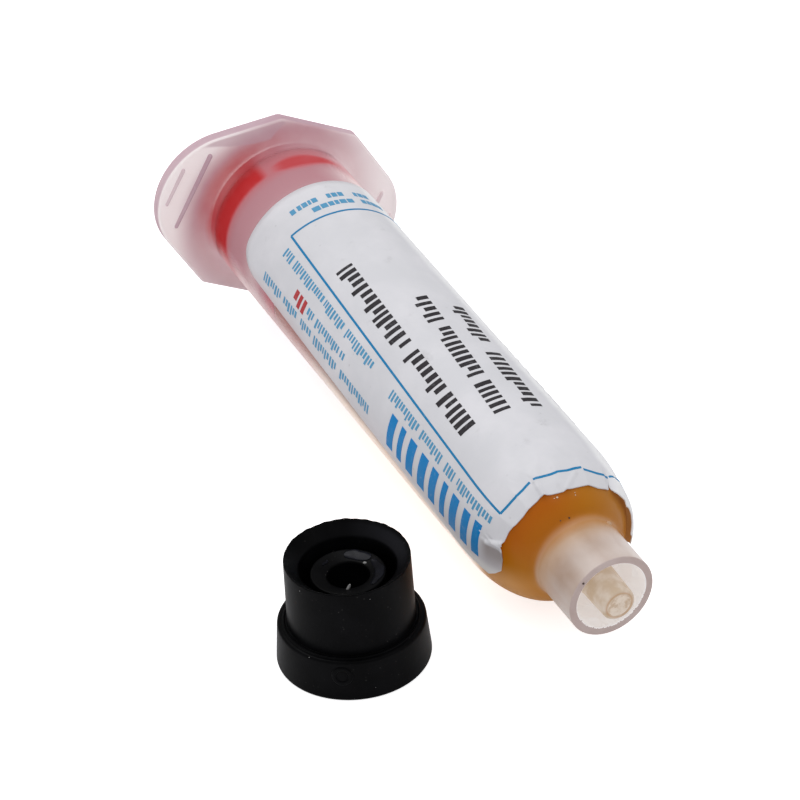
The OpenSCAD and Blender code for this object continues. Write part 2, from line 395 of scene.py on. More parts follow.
def addBump(n, shader, height, distance, strength):
    bump = n.add("ShaderNodeBump", {"Height": height, "Distance": distance, "Strength": strength})
    n.put(shader.inputs["Normal"], bump.outputs["Normal"])


# The barrel: flange, grip ribs, tube, shoulder, collar and tip

barrelSizes = {
    "tubeRadius": 9.2, "boreRadius": 7.95, "tubeLength": 66.4, "flangeThickness": 1.6,
    "flangeEdge": 0.35, "neckFillet": 1.5, "mouthChamfer": 0.5,
    "wingHalfLength": 17.0, "wingHalfWidth": 11.6, "flatHalf": 5.6, "flankSlope": 30.5,
    "cornerRadius": 1.2, "domeLength": 10.0, "domeFront": 4.2, "domeWall": 1.2,
    "collarRadius": 5.1, "collarBore": 4.2, "collarEnd": 83.9, "collarDepth": 7.0, "collarFillet": 0.8,
    "tipBase": 2.225, "tipEndRadius": 1.975, "tipBore": 1.25,
    "rimRounding": 0.16, "rootRounding": 0.3, "tipRounding": 0.42, "boreRounding": 0.12,
    "turns": 384, "closeRear": 4.8, "closeFrom": 58.0,  # rows lie closer along this much and from this place
    "ridgePitch": 5.0, "ridgeWidth": 0.9, "ridgeHeight": 0.32, "flashDepth": 0.07,
    # ribs: place, length, width and how dark its painted shade is
    "ribs": [(12.95, 10.4, 0.6, 1.0), (15.6, 5.2, 0.42, 0.65)], "ribHeight": 0.45, "ribSunk": 0.06,
}


def flangeReach(angle):
    # distance from the axis to the flange's outline: flats, slanted flanks, rounded corners and end arcs
    s = barrelSizes
    slope = math.radians(s["flankSlope"])
    reach = s["flatHalf"] * math.sin(slope) + s["wingHalfWidth"] * math.cos(slope)
    endRadius = (reach - s["wingHalfLength"] * math.sin(slope)) / (1 - math.sin(slope))
    endPlace = s["wingHalfLength"] - endRadius
    psi = np.radians(np.asarray(angle, float)) - slope
    u, v = np.abs(np.cos(psi)), np.abs(np.sin(psi))
    flat = s["wingHalfWidth"] / np.maximum(v, 1e-6)
    flank = reach / (u * math.sin(slope) + v * math.cos(slope))
    arc = endPlace * u + np.sqrt(np.maximum(endRadius ** 2 - (endPlace * v) ** 2, 0))
    tangent = math.atan2(endRadius * math.cos(slope), endPlace + endRadius * math.sin(slope))
    outline = np.where(np.arctan2(v, u) < tangent, arc, np.minimum(flat, flank))
    cx = s["flatHalf"] - s["cornerRadius"] * math.tan(slope / 2)
    cy = s["wingHalfWidth"] - s["cornerRadius"]
    corner = cx * u + cy * v + np.sqrt(np.maximum(s["cornerRadius"] ** 2 - (cx * v - cy * u) ** 2, 0))
    turn = np.arctan2(corner * u - cx, corner * v - cy)
    onCorner = (turn > 0) & (turn < slope) & (np.abs(cx * v - cy * u) < s["cornerRadius"])
    return np.where(onCorner, np.minimum(corner, outline), outline)


def barrelProfile():
    # closed loop of (r, z) after the flange: fillet, tube, dome, collar, tip, bore and back to the mouth
    s = barrelSizes
    t = np.radians(np.linspace(0, 90, 9))[:, None]
    fillet = np.hstack([s["tubeRadius"] + s["neckFillet"] * (1 - np.sin(t)),
                        s["flangeThickness"] + s["neckFillet"] * (1 - np.cos(t))])
    start = s["flangeThickness"] + s["neckFillet"]
    stops = [start, start + s["closeRear"], s["closeFrom"], s["tubeLength"]]
    rows = [np.linspace(a, b, count)[1:] for a, b, count in zip(stops[:-1], stops[1:], (7, 6, 12))]
    tubeZ = np.concatenate(rows)[:-1, None]
    tube = np.hstack([np.full_like(tubeZ, s["tubeRadius"]), tubeZ])
    # the shoulder stops where the collar's fillet meets it, and foot is where the collar itself would
    drop, over = s["tubeRadius"] - s["domeFront"], s["collarRadius"] - s["domeFront"]
    cut = math.degrees(math.acos((over + s["collarFillet"]) / drop))
    foot = s["tubeLength"] + s["domeLength"] * math.sin(math.acos(over / drop))
    dome = domeCurve(s["tubeRadius"], s["domeFront"], s["tubeLength"], s["domeLength"], 0, cut)
    k = np.linspace(0, 1, 9)[1:, None]
    footBend = ((1 - k) ** 2 * dome[-1] + 2 * k * (1 - k) * np.array([s["collarRadius"], foot])
                + k * k * np.array([s["collarRadius"], foot + s["collarFillet"]]))
    floor = s["collarEnd"] - s["collarDepth"]
    front = s["tubeLength"] + s["domeLength"]
    nozzle = roundedPath([
        (s["collarRadius"], foot + s["collarFillet"] + 0.3, 0),
        (s["collarRadius"], s["collarEnd"], s["rimRounding"]),
        (s["collarBore"], s["collarEnd"], s["rimRounding"]), (s["collarBore"], floor, s["rootRounding"]),
        (s["tipBase"], floor, s["rootRounding"]), (s["tipEndRadius"], tipEnd, s["tipRounding"]),
        (s["tipBore"], tipEnd, s["boreRounding"]), (s["tipBore"], front, 0)], steps=5, spacing=0.5)
    # the path closes on itself, so its last corner and what follows come off
    nozzle = nozzle[:-(int(np.argmin(np.abs(nozzle[::-1, 1] - front))) + 1)]
    inner = domeCurve(s["boreRadius"], s["domeFront"] - s["domeWall"], s["tubeLength"],
                      s["domeLength"] - s["domeWall"], 90, 0, 16)
    boreZ = np.linspace(s["tubeLength"], s["mouthChamfer"], 14)[1:, None]
    bore = np.hstack([np.full_like(boreZ, s["boreRadius"]), boreZ])
    outside = np.vstack([fillet, tube, dome, footBend, nozzle, [[s["tipBore"], front]]])
    return np.vstack([outside, inner, bore]), len(inner) + len(bore)


def threadRidge(z, angle):
    # two-start ridge inside the collar: a raised cosine across a helix, faded out at both ends
    s = barrelSizes
    pitch, width, end = s["ridgePitch"], s["ridgeWidth"], s["collarEnd"]
    phase = (z - end) / pitch * 2 + angle / 180
    off = (phase - np.round(phase)) * pitch / 2
    ridge = np.where(np.abs(off) < width / 2, 0.5 + 0.5 * np.cos(2 * np.pi * off / width), 0)
    return s["ridgeHeight"] * ridge * smoothStep(z, end - 6.6, end - 5.6) * fade(z, end - 1.3, end - 0.5)


def mouthFlash(angle):
    # ragged flash on the lower half of the collar's mouth: three waves of sine added up
    turn = np.radians(angle)
    ragged = np.abs(np.sin(turn * 23) + np.sin(turn * 37 + 1) + np.sin(turn * 61))
    a = signedAngle(angle)
    return barrelSizes["flashDepth"] * ragged * smoothStep(a, -175, -150) * fade(a, -30, 0)


tintPlaces = {
    # Round is an angle in degrees, Along a place along the axis in mm and Out a distance from the axis in mm;
    # a pair says where a tint starts and where it is full, or where it fades and where it is gone
    "rearAlong": 4.5, "redRound": 46, "redSpread": 38, "redOut": (10.0, 12.3),
    "patchRound": (-30, 14), "patchRoundEnd": (62, 84), "patchAlong": (1.55, 2.0), "patchOut": (9.7, 10.9),
    "clearAlong": (2.5, 3.4), "clearAlongEnd": (62.0, 67.0),
    "amberAlong": (61, 66.5), "amberAlongEnd": (76.2, 77.2), "amberShift": (0.2, 1.3), "amberOut": 4.5,
    "upperRound": (0, 60), "upperRoundEnd": (120, 175),
    "honeyAlong": 77.4, "honeyOut": (2.35, 2.9), "hollowOut": (2.5, 2.9), "endAlong": (83.74, 83.86),
    "goldOut": 1.6, "goldWidth": 0.07, "goldAlong": 85.3, "rimOut": 10.3,
    # how mauve the flange is, how wide its dark band is in mm and how pale the collar is, angle by angle
    "mauveOut": (11.3, 14.4),
    "mauve": {-180: 0.25, -60: 0.45, -20: 0.7, 10: 0.9, 25: 1, 90: 1, 120: 0.9, 140: 0.7, 160: 0.35,
              180: 0.25},
    "band": {40: 0, 48: 0.05, 53: 0.5, 58: 1.3, 62: 1.8, 75: 2.3, 86: 2.3, 100: 0},
    "pale": {-60: 1, -20: 0.95, -5: 0.6, 10: 0.35, 25: 0.0, 38: 0.05, 55: 0.42, 70: 0.42, 85: 0.15,
             100: 0.3, 115: 0.6, 130: 0.85, 150: 1},
}


def barrelTints(z, r, a, reach, inside):
    # how red, mauve, amber, beige and clear the plastic looks, from where it is
    p, s = tintPlaces, barrelSizes
    rear = z < p["rearAlong"]
    # the red and the mauve are painted light that the red piston sends through the flange
    redSide = 0.15 + 0.85 * np.exp(-((a - p["redRound"]) / p["redSpread"]) ** 2)
    patch = smoothStep(a, *p["patchRound"]) * fade(a, *p["patchRoundEnd"])
    red = np.maximum(redSide * fade(r, *p["redOut"]),
                     patch * smoothStep(z, *p["patchAlong"]) * fade(r, *p["patchOut"])) * rear
    mauve = fade(r, *p["mauveOut"]) * byAngle(a, p["mauve"]) * rear
    # the flange's edge looks darker, and so does a band of its face, where the far edge shows through
    band, inwards = byAngle(a, p["band"]), reach - r
    edge = smoothStep(r, reach - 0.14, reach - 0.02) * smoothStep(z, 0.0, 0.2) * fade(z, 1.3, 1.5)
    farEdge = fade(inwards, band - 0.2, band + 0.25) * smoothStep(inwards, 0.2, 0.4)
    rim = np.maximum(edge, 0.7 * farEdge * smoothStep(band, 0.0, 1.0)) * (r > p["rimOut"]) * rear
    clear = np.where(inside, 1.0, smoothStep(z, *p["clearAlong"]) * fade(z, *p["clearAlongEnd"]))
    # the amber ends earlier below than on the upper side, where it fades out over a longer stretch
    upper = smoothStep(a, *p["upperRound"]) * fade(a, *p["upperRoundEnd"])
    (endStart, endStop), (earlier, later) = p["amberAlongEnd"], p["amberShift"]
    amber = smoothStep(z, *p["amberAlong"]) * fade(z, endStart - earlier * upper, endStop + later * upper)
    floor = s["collarEnd"] - s["collarDepth"]
    honey = smoothStep(z, floor - 0.2, p["honeyAlong"]) * fade(r, *p["honeyOut"]) * (r > 1.0)
    hollow = (r < s["collarBore"] + 0.2) & (z > floor - 0.05) & (z < s["collarEnd"] - 0.02)
    gold = np.exp(-((r - p["goldOut"]) / p["goldWidth"]) ** 2) * (z > p["goldAlong"])
    # what stands behind the collar shows through: two dark bands along it, paler towards both sides
    return {"redGlow": red, "mauveGlow": mauve, "rimShade": rim, "clearWall": clear,
            "amberGlow": amber * (r > p["amberOut"]) * ~inside, "honeyGlow": honey,
            "hollowGlow": hollow * smoothStep(r, *p["hollowOut"]), "goldRim": gold,
            "endFace": smoothStep(z, *p["endAlong"]) * (r > 3.9), "paleBand": byAngle(a, p["pale"]),
            "boreFace": inside, "alongAxis": z, "roundAxis": a}


def makeBarrel():
    # a closed grid: rear face, edge and front face of the flange, whose reach changes with the angle,
    # and then the round profile
    s = barrelSizes
    angle = ringAngles(s["turns"])
    reach = flangeReach(angle)
    edge, thick = s["flangeEdge"], s["flangeThickness"]
    mouth = s["boreRadius"] + s["mouthChamfer"]
    rearR = mouth + (reach - edge - mouth) * np.linspace(0, 1, 12)[:, None]
    turn = np.radians(np.linspace(0, 90, 6))[1:, None]
    edgeRearR, edgeRearZ = reach - edge * (1 - np.sin(turn)), edge * (1 - np.cos(turn))
    edgeFrontR, edgeFrontZ = edgeRearR[::-1], thick - edgeRearZ[::-1]
    filletR = s["tubeRadius"] + s["neckFillet"]
    frontR = reach - edge + (filletR - reach + edge) * np.linspace(0, 1, 22)[:, None]
    profile, innerRows = barrelProfile()
    r = np.vstack([rearR, edgeRearR, edgeFrontR, frontR,
                   np.broadcast_to(profile[:, :1], (len(profile), s["turns"]))])
    z = np.vstack([np.zeros_like(rearR), np.broadcast_to(edgeRearZ, edgeRearR.shape),
                   np.broadcast_to(edgeFrontZ, edgeFrontR.shape), np.full_like(frontR, thick),
                   np.broadcast_to(profile[:, 1:], (len(profile), s["turns"]))])
    inCollar = np.abs(r - s["collarBore"]) < 0.01
    r = np.where(inCollar, r - threadRidge(z, angle), r)
    onMouth = (r < s["collarBore"] + 0.17) & (r > 3.8) & (z > s["collarEnd"] - 0.25)
    r = np.where(onMouth, r - mouthFlash(angle), r)
    inside = np.arange(len(r))[:, None] >= len(r) - innerRows
    return gridPiece("barrelShell", around(z, r, angle), wrapRows=True, wrapCols=True,
                     masks=barrelTints(z, r, signedAngle(angle), reach, inside))


def makeGripRibs():
    # bars whose cross-section is a half ellipse: x across, y along with round ends, z off the flange's face
    s = barrelSizes
    bars = []
    phi = np.linspace(0, 2 * np.pi, 24, endpoint=False)[None, :]
    t = np.linspace(-1, 1, 41)[:, None]
    # the rimShade mask paints each rib darker as painted shade, less on the far wing
    for side, shadeShare in ((0, 1.0), (180, 0.4)):
        for place, length, width, shade in s["ribs"]:
            half = width / 2
            y = np.sin(t * np.pi / 2) * length / 2
            end = np.clip(length / 2 - np.abs(y), 0, half)
            reach = np.sqrt(np.maximum(half ** 2 - (half - end) ** 2, 0)) * (0.85 + 0.15 * t)
            x = reach * np.cos(phi)
            lift = np.where(np.sin(phi) > 0, s["ribHeight"], s["ribSunk"]) * np.sin(phi) * reach / half
            turn = math.radians(s["flankSlope"] + side)
            px = (place + x) * math.cos(turn) - y * math.sin(turn)
            py = (place + x) * math.sin(turn) + y * math.cos(turn)
            points = around(s["flangeThickness"] + lift, np.hypot(px, py), np.degrees(np.arctan2(py, px)))
            bars.append(gridPiece("gripRib", points, wrapCols=True, masks={"rimShade": shade * shadeShare}))
    return joinPieces("gripRibs", bars)


barrelLook = {
    "wing": srgb("EBE3E3"), "mauve": srgb("B0848F"), "red": srgb("B03C42"), "rim": srgb("AE8F9B"),
    "redEdge": srgb("C2898E"), "rearEdge": srgb("DFC8C7"), "midEdge": srgb("F6F1EC"),
    "milk": srgb("E9E4E1"), "hollow": srgb("F0F0F1"),
    "collarDeep": srgb("9A8170"), "collarPale": srgb("C7BDB8"), "foot": srgb("A9835A"),
    "endFace": srgb("A4928E"), "honey": srgb("CBBDAE"), "honeyDeep": srgb("B8A389"), "gold": srgb("A9794A"),
    "wingAlpha": 0.82, "collarAlpha": 0.9, "wallAlpha": 0.02, "edgeAlpha": 0.86, "boreAlpha": 0.3,
    "glow": 0.26, "underGlow": 0.35,
}


def barrelMaterial():
    look = barrelLook
    material, n, shader = newMaterial("milkyPolypropylene", IOR=1.49, Specular_IOR_Level=0.2)
    grain = n.group(mouldedGrain, Rough=0.3, Spread=0.1, Pit_Size=1800.0)
    place, along, amber = n.place(), n.mask("alongAxis"), n.mask("amberGlow")
    # the flange with the piston's red and mauve light painted on, and the tube's edges from red over rose to milky
    # white
    base = n.mix(n.mask("mauveGlow"), look["wing"], look["mauve"])
    base = n.mix(n.mask("redGlow"), base, look["red"])
    base = n.mix(n.mask("rimShade"), base, look["rim"])
    wall = n.mix(n.ramp(along, 6.0, 10.0), look["redEdge"], look["rearEdge"])
    wall = n.mix(n.ramp(along, 24.0, 34.0), wall, look["midEdge"])
    base = n.mix(n.ramp(along, 3.2, 5.0), base, wall)
    # the collar: beige with streaks, amber at its foot
    streaks = n.times(n.math("SUBTRACT", n.noise(place, 330.0, 3.0), 0.5), 0.5)
    streaks = n.math("ADD", streaks, n.ramp(along, 79.5, 84.0, 0.0, 0.2))
    pale = n.math("ADD", n.mask("paleBand"), streaks, clamp=True)
    collar = n.mix(pale, look["collarDeep"], look["collarPale"])
    collar = n.mix(n.ramp(along, 76.4, 81.0, 0.95, 0.0), collar, look["foot"])
    collar = n.mix(n.mask("endFace"), collar, look["endFace"])
    base = n.mix(n.ramp(along, 76.0, 77.0), base, collar)
    # the tip, the collar's inside and the flux behind the shoulder
    honey = n.mix(n.ramp(n.noise(place, 700.0, 3.0), 0.35, 0.7), look["honeyDeep"], look["honey"])
    base = n.mix(n.mask("honeyGlow"), base, honey)
    base = n.mix(n.mask("hollowGlow"), base, look["hollow"])
    base = n.mix(n.mask("goldRim"), base, look["gold"])
    base = n.mix(amber, base, n.group(fluxTone)["Color"])
    # painted light: a pale edge along the underside of the shoulder, which glows a little as well
    facing = n.add("ShaderNodeLayerWeight", {"Blend": 0.5}).outputs["Facing"]
    under = n.times(n.ramp(n.mask("roundAxis"), -14.0, -4.0, 1.0, 0.0), n.ramp(along, 67.5, 71.0, 0.85, 0.0),
                    n.ramp(along, 60.0, 63.0), n.ramp(facing, 0.6, 0.8))
    base = n.mix(under, base, look["midEdge"])
    cloud = n.times(n.ramp(n.noise(place, 150.0, 3.0), 0.3, 0.75, 0.0, 0.14), n.math("SUBTRACT", 1.0, amber))
    base = n.mix(cloud, base, look["wing"])
    base = n.mix(n.mask("boreFace"), base, look["milk"])
    rough = n.math("ADD", grain["Roughness"], n.ramp(along, 3.2, 5.0, 0.28, 0.0))
    glow = n.mixValue(amber, look["glow"], fluxLook["glow"])
    paint(n, shader, base, rough, n.math("ADD", glow, n.times(under, look["underGlow"])))
    # clear where the wall is seen straight on, milky where it is seen along
    edgeAlpha = n.ramp(facing, 0.64, 0.9, look["wallAlpha"], look["edgeAlpha"])
    solid = n.math("MAXIMUM", n.ramp(along, 30.0, 60.0, look["wingAlpha"], look["collarAlpha"]), amber)
    alpha = n.mixValue(n.mask("clearWall"), solid, edgeAlpha)
    milky = n.times(n.mask("boreFace"), look["boreAlpha"])
    n.put(shader.inputs["Alpha"], n.math("MAXIMUM", alpha, milky))
    addBump(n, shader, grain["Height"], 0.00001, 0.3)
    return material


# The piston, and its red light in the barrel's wall

pistonSizes = {
    "rear": 1.9, "skirt": 17.0, "rearLip": 3.4, "frontLip": 5.8, "lipRadius": 7.91,
    "relief": 0.75, "wall": 1.2, "noseClear": 0.15,
    "glowRear": 1.4, "glowRadius": 9.1, "glowSkin": 0.06,  # the sleeve of red light in the barrel's wall
}


def makePiston():
    # a closed loop of (r, z) turned about the axis: hollow, skirt with a lip at both ends, elliptical nose
    p, s = pistonSizes, barrelSizes
    body, lip = p["lipRadius"] - p["relief"], p["rear"] + p["skirt"]
    hollow, hollowEnd = body - p["wall"], lip - p["wall"]
    noseLength = s["domeLength"] - s["domeWall"] - p["noseClear"]
    noseEnd = s["domeFront"] - s["domeWall"] - p["noseClear"]
    skirt = roundedPath([
        (hollow, hollowEnd, 0), (hollow, p["rear"], 0.3), (p["lipRadius"], p["rear"], 0.25),
        (p["lipRadius"], p["rear"] + p["rearLip"], 0.3), (body, p["rear"] + p["rearLip"] + p["relief"], 0.3),
        (body, lip - p["frontLip"] - p["relief"], 0.3), (p["lipRadius"], lip - p["frontLip"], 0.3),
        (p["lipRadius"], lip, 0)], steps=5, spacing=0.4)
    keepTo = int(np.argmax((np.abs(skirt[:, 0] - p["lipRadius"]) < 1e-6) & (skirt[:, 1] > lip - 1e-6)))
    nose = domeCurve(s["boreRadius"] - p["noseClear"], noseEnd, lip, noseLength, 5, 90)
    inside = domeCurve(hollow, 0.0, hollowEnd, noseLength - p["wall"], 90, 5)
    profile = np.vstack([skirt[:keepTo + 1], nose, [[0.0, lip + noseLength]], inside])
    return turnedPiece("wiperPiston", profile)


glowPlaces = {
    # the red is wide on the near side, a thin band over the top and faint elsewhere; Round is in degrees
    # and Along in mm, as for the barrel's tints
    "wideRound": (-48, -14), "wideRoundEnd": (63, 77), "wideAlong": (5.3, 6.6),
    "thinRound": (64, 86), "thinRoundEnd": (124, 156), "thinAlong": 5.3, "thinRed": 0.82,
    "thickRound": 98, "thickSpread": 27,
    "faintRound": (-150, -80), "faintRoundEnd": (112, 150), "faintAlong": (5.6, 7.6), "faintRed": 0.34,
    "lipAlong": (15.2, 17.4), "lipRed": 0.3,
    "farRound": (98, 138), "farRoundEnd": (-178, -130), "farAlong": (5, 9),
    "paleAlong": 12.9, "paleSpread": 1.9, "paleMost": 0.65,
}


def glowTints(z, a):
    # how red, how pale and how solid the light in the wall looks, from where it is
    g, front = glowPlaces, pistonSizes["rear"] + pistonSizes["skirt"]
    wide = fade(z, *g["wideAlong"]) * smoothStep(a, *g["wideRound"]) * fade(a, *g["wideRoundEnd"])
    thick = 0.3 + 1.2 * np.exp(-((a - g["thickRound"]) / g["thickSpread"]) ** 2)
    thin = fade(np.abs(z - g["thinAlong"]), 0.4 * thick, 1.4 * thick)
    thin = thin * smoothStep(a, *g["thinRound"]) * fade(a, *g["thinRoundEnd"])
    faint = fade(z, *g["faintAlong"]) * fade(a, *g["faintRoundEnd"]) * smoothStep(a, *g["faintRound"])
    red = np.maximum(np.maximum(wide, g["thinRed"] * thin),
                     np.maximum(g["faintRed"] * faint, g["lipRed"] * smoothStep(z, *g["lipAlong"])))
    farSide = np.maximum(smoothStep(a, *g["farRound"]), fade(a, *g["farRoundEnd"]))
    middle = np.exp(-((z - g["paleAlong"]) / g["paleSpread"]) ** 2)
    pale = np.maximum(farSide * smoothStep(z, *g["farAlong"]), g["paleMost"] * middle)
    return {"redGlow": red, "paleGlow": pale,
            "coverGlow": fade(z, front - 0.3, front) * (0.7 + 0.27 * np.clip(red * 2, 0, 1))}


def sleeveLoop(rear, front, radius, skin, rows):
    # a closed loop of (r, z): a thin wall from rear to front, its outside first and its inside back
    z = np.concatenate([np.linspace(rear, front, rows), np.linspace(front, rear, rows)])
    return np.stack([np.repeat([radius, radius - skin], rows), z], -1)


def makePistonGlow():
    # the red that the thick wall bends outwards, as a sleeve inside the wall that goes with the piston
    p = pistonSizes
    loop = sleeveLoop(p["glowRear"], p["rear"] + p["skirt"], p["glowRadius"], p["glowSkin"], 120)
    return turnedPiece("pistonGlow", loop, masks=glowTints)


pistonLook = {
    "red": srgb("B3302F"), "worn": srgb("C04B4A"),
    "glowHaze": srgb("B5868E"), "glowPale": srgb("D0BDBF"), "glowRed": srgb("B02A2C"), "glow": 0.24,
}


def pistonMaterial():
    look = pistonLook
    material, n, shader = newMaterial("redPistonPolyethylene", IOR=1.5, Specular_IOR_Level=0.4)
    grain = n.group(mouldedGrain, Rough=0.42, Spread=0.1)
    haze = n.ramp(n.noise(n.place(), 190.0, 3.0), 0.4, 0.75)
    paint(n, shader, n.mix(haze, look["red"], look["worn"]), grain["Roughness"])
    addBump(n, shader, grain["Height"], 0.00001, 0.3)
    return material


def glowMaterial():
    look = pistonLook
    material, n, shader = newMaterial("redLightInWall", Roughness=0.6, Specular_IOR_Level=0.0)
    base = n.mix(n.mask("paleGlow"), look["glowHaze"], look["glowPale"])
    red = n.times(n.mask("redGlow"), n.ramp(n.noise(n.place(), 260.0, 2.0), 0.2, 0.5, 0.88, 1.0))
    paint(n, shader, n.mix(red, base, look["glowRed"]), glow=look["glow"])
    n.put(shader.inputs["Alpha"], n.mask("coverGlow"))
    return material


# The flux: column, shoulder, tip and what has dried

fluxSizes = {
    "gap": 0.02, "skin": 0.1, "start": 19.0, "wallReach": 1.1, "meniscus": 0.35, "tipSunk": 0.12,
    "residueEdge": 1.46, "residueBulge": 0.12, "residueDepth": 0.9, "residueWrinkle": 0.035,
}
# place along, distance from the axis, angle and size: pale beads by the label's front edge, which
# stand in for glints as painted highlights, and grit on the shoulder and on the collar's end
shoulderGlints = [(74.2, 7.38, 80.0, 0.13), (74.15, 7.4, 77.5, 0.06), (74.6, 7.12, 96.0, 0.07),
                 (74.35, 7.28, 96.4, 0.06)]
gritPlaces = [(76.05, 5.62, 81.6, 0.1), (75.9, 5.75, 71.6, 0.08), (83.92, 4.7, 43.0, 0.13),
              (75.2, 6.3, 20.0, 0.05)]


def axisPlaces(z, a):
    return {"roundAxis": a, "alongAxis": z}


def makeFluxColumn():
    # a thin sleeve from the piston's lip to the shoulder, out in the wall as the thick plastic shows it
    s, f = barrelSizes, fluxSizes
    loop = sleeveLoop(f["start"], s["tubeLength"], s["boreRadius"] + f["wallReach"], f["skin"], 60)
    return turnedPiece("fluxColumn", loop, masks=axisPlaces)


def makeFluxDome():
    # the same skin inside the shoulder, closed by the fill of the tip with a slightly sunk meniscus
    s, f = barrelSizes, fluxSizes
    length, front = s["domeLength"] - s["domeWall"] - f["gap"], s["domeFront"] - s["domeWall"] - f["gap"]
    radius, bore = s["boreRadius"] - f["gap"], s["tipBore"] - f["gap"]
    outer = domeCurve(radius, front, s["tubeLength"], length, 0, 90, 40)
    inner = domeCurve(radius - f["skin"], front - 0.04, s["tubeLength"], length - f["skin"], 90, 0, 40)
    # from the dome's front corner through the cone into the tip's bore, and the meniscus
    k = np.linspace(0, 1, 8)[1:]
    cone = np.stack([outer[-1, 0] + (bore - outer[-1, 0]) * k, outer[-1, 1] + (s["domeWall"] + 0.02) * k], -1)
    brim = tipEnd - f["tipSunk"]
    up = np.linspace(cone[-1, 1], brim, 20)[1:]
    t = np.linspace(1, 0, 10)[1:]
    cup = np.stack([bore * t, brim - f["meniscus"] * (1 - t ** 2)], -1)
    core = np.array([[0.0, s["tubeLength"] + length - f["skin"]]])
    profile = np.vstack([outer, cone, np.stack([np.full_like(up, bore), up], -1), cup, core, inner])
    return turnedPiece("fluxDome", profile, masks=axisPlaces)


def makeTipResidue():
    # dried flux that closes the tip: a disc that bulges as 1 - (r / edge)^2, wrinkled by two crossed waves
    f = fluxSizes
    edge, count = f["residueEdge"], 96
    t, angle = np.linspace(0, 1, 22)[:, None], ringAngles(count)
    x, y = t * edge * np.cos(np.radians(angle)), t * edge * np.sin(np.radians(angle))
    waves = np.sin(4.2 * x + 1.5 * y + 0.6) + np.sin(2.1 * y - 5.0 * x * y)
    top = tipEnd - 0.02 + f["residueBulge"] * (1 - t ** 2) + f["residueWrinkle"] * waves * (1 - t ** 4)
    r = np.vstack([t * edge + 0 * angle, np.full((1, count), edge), np.zeros((1, count))])
    z = np.vstack([top, np.full((2, count), tipEnd - f["residueDepth"])])
    return gridPiece("driedTipFlux", around(z, r, angle), wrapCols=True)


def makeDrops(name, places, squash):
    # a small ball at each place: point = around(z, r, angle)
    return joinPieces(name, [dropPiece("drop", around(z, r, a), size, squash) for z, r, a, size in places])


def makeFootNub():
    # a clear bump left at the collar's foot, half sunk in it
    return dropPiece("footNub", around(76.9, 5.0, 134.0), 0.38, 0.8,
                     masks={"alongAxis": 77.3, "paleBand": 0.5, "roundAxis": 134.0})


def residueMaterial():
    look = fluxLook
    material, n, shader = newMaterial("driedFlux", IOR=1.5, Specular_IOR_Level=0.5)
    fold = n.noise(n.place(), 900.0, 4.0, 0.6)
    base = n.mix(n.ramp(fold, 0.35, 0.6), look["residueDeep"], look["residue"])
    paint(n, shader, base, n.ramp(fold, 0.3, 0.7, 0.2, 0.4), look["glow"])
    addBump(n, shader, fold, 0.00005, 0.5)
    return material


def speckMaterial(name, scale, dark, pale, roughness):
    material, n, shader = newMaterial(name, Roughness=roughness)
    paint(n, shader, n.mix(n.varied(scale), dark, pale))
    return material


def fluxMaterial():
    material, n, shader = newMaterial("amberFlux", IOR=1.5, Specular_IOR_Level=0.15)
    paint(n, shader, n.group(fluxTone)["Color"], n.varied(500.0, 0.3, 0.45), fluxLook["glow"])
    return material


# The label and its ink

labelSizes = {
    "thickness": 0.13, "lift": 0.03, "inkLift": 0.16, "inkDepth": 0.03,
    "rows": 150, "cols": 300, "crowd": 0.35,  # crowd is how much closer the columns lie at the near edge
    "rearPlace": 10.9, "frontPlace": 74.0, "farAngle": 249.0, "cornerRadius": 3.4,
    "nearAngle": 6.0, "nearPlace": 12.0, "nearSlope": 0.345,  # the near edge turns by the slope for each mm
    "facetDepth": 1.0, "facetAlong": (69.0, 72.6), "ripple": 0.018,
    "flapLift": 0.75, "flapRound": (130, 143), "flapRoundEnd": (200, 222), "flapAlong": (70.2, 75.2),
    "filmRadius": 9.3, "degreeMm": 0.163, "creaseDegreeMm": 0.16,
}
# creases: start along and round, end along and round, in mm and degrees, then height and half width
labelCreases = [
    (71.5, 12.5, 73.4, 18.9, 0.26, 0.28), (70.6, 16.0, 72.9, 12.0, -0.22, 0.45),
    (69.6, 63.0, 71.9, 72.0, -0.15, 0.4), (71.8, 72.0, 73.6, 71.6, 0.24, 0.3),
    (72.4, 103.0, 73.9, 90.0, 0.12, 0.25), (68.0, 34.0, 71.0, 22.0, -0.07, 0.6),
    (66.5, 96.0, 71.5, 104.0, 0.06, 0.5), (69.0, 84.0, 71.4, 74.0, 0.07, 0.45),
    (71.8, 133.5, 74.2, 134.5, -0.3, 0.35), (60.5, 131.0, 66.0, 120.0, 0.05, 0.8),
    (40.0, 78.0, 43.0, 84.0, 0.03, 0.7), (20.0, 24.0, 31.0, 20.0, 0.03, 0.8),
]
facetAngles = np.array([-19.0, 17, 36, 56, 71.5, 90, 111, 131, 150, 170, 190, 212, 232, 252])
# the front edge, angle by angle: straight cuts, a notch at the tear and a longer flap past it
labelFront = {
    -22: 70.6, -15: 71.8, -11.5: 72.7, -7: 73.4, 5: 73.6, 20: 73.35, 31: 73.35, 39: 73.6, 48: 73.65,
    58.5: 73.55, 64.5: 73.5, 68.5: 73.4, 78.5: 73.8, 86.5: 74.0, 98: 73.95, 110: 73.9, 121: 74.1, 132: 74.05,
    134: 73.0, 135.5: 73.8, 138: 74.3, 142: 74.6, 150: 74.6, 154: 75.0, 158: 74.8, 166: 74.9, 175: 75.3,
    182: 75.6, 188: 75.1, 195: 75.2, 199: 74.3, 203: 73.2, 250: 73.5,
}


def labelRadius(z):
    # radius that the film lies on: the tube, then the shoulder's ellipse
    s = barrelSizes
    t = np.clip((z - s["tubeLength"]) / s["domeLength"], 0, 0.995)
    return s["tubeRadius"] - (s["tubeRadius"] - s["domeFront"]) * (1 - np.sqrt(1 - t * t))


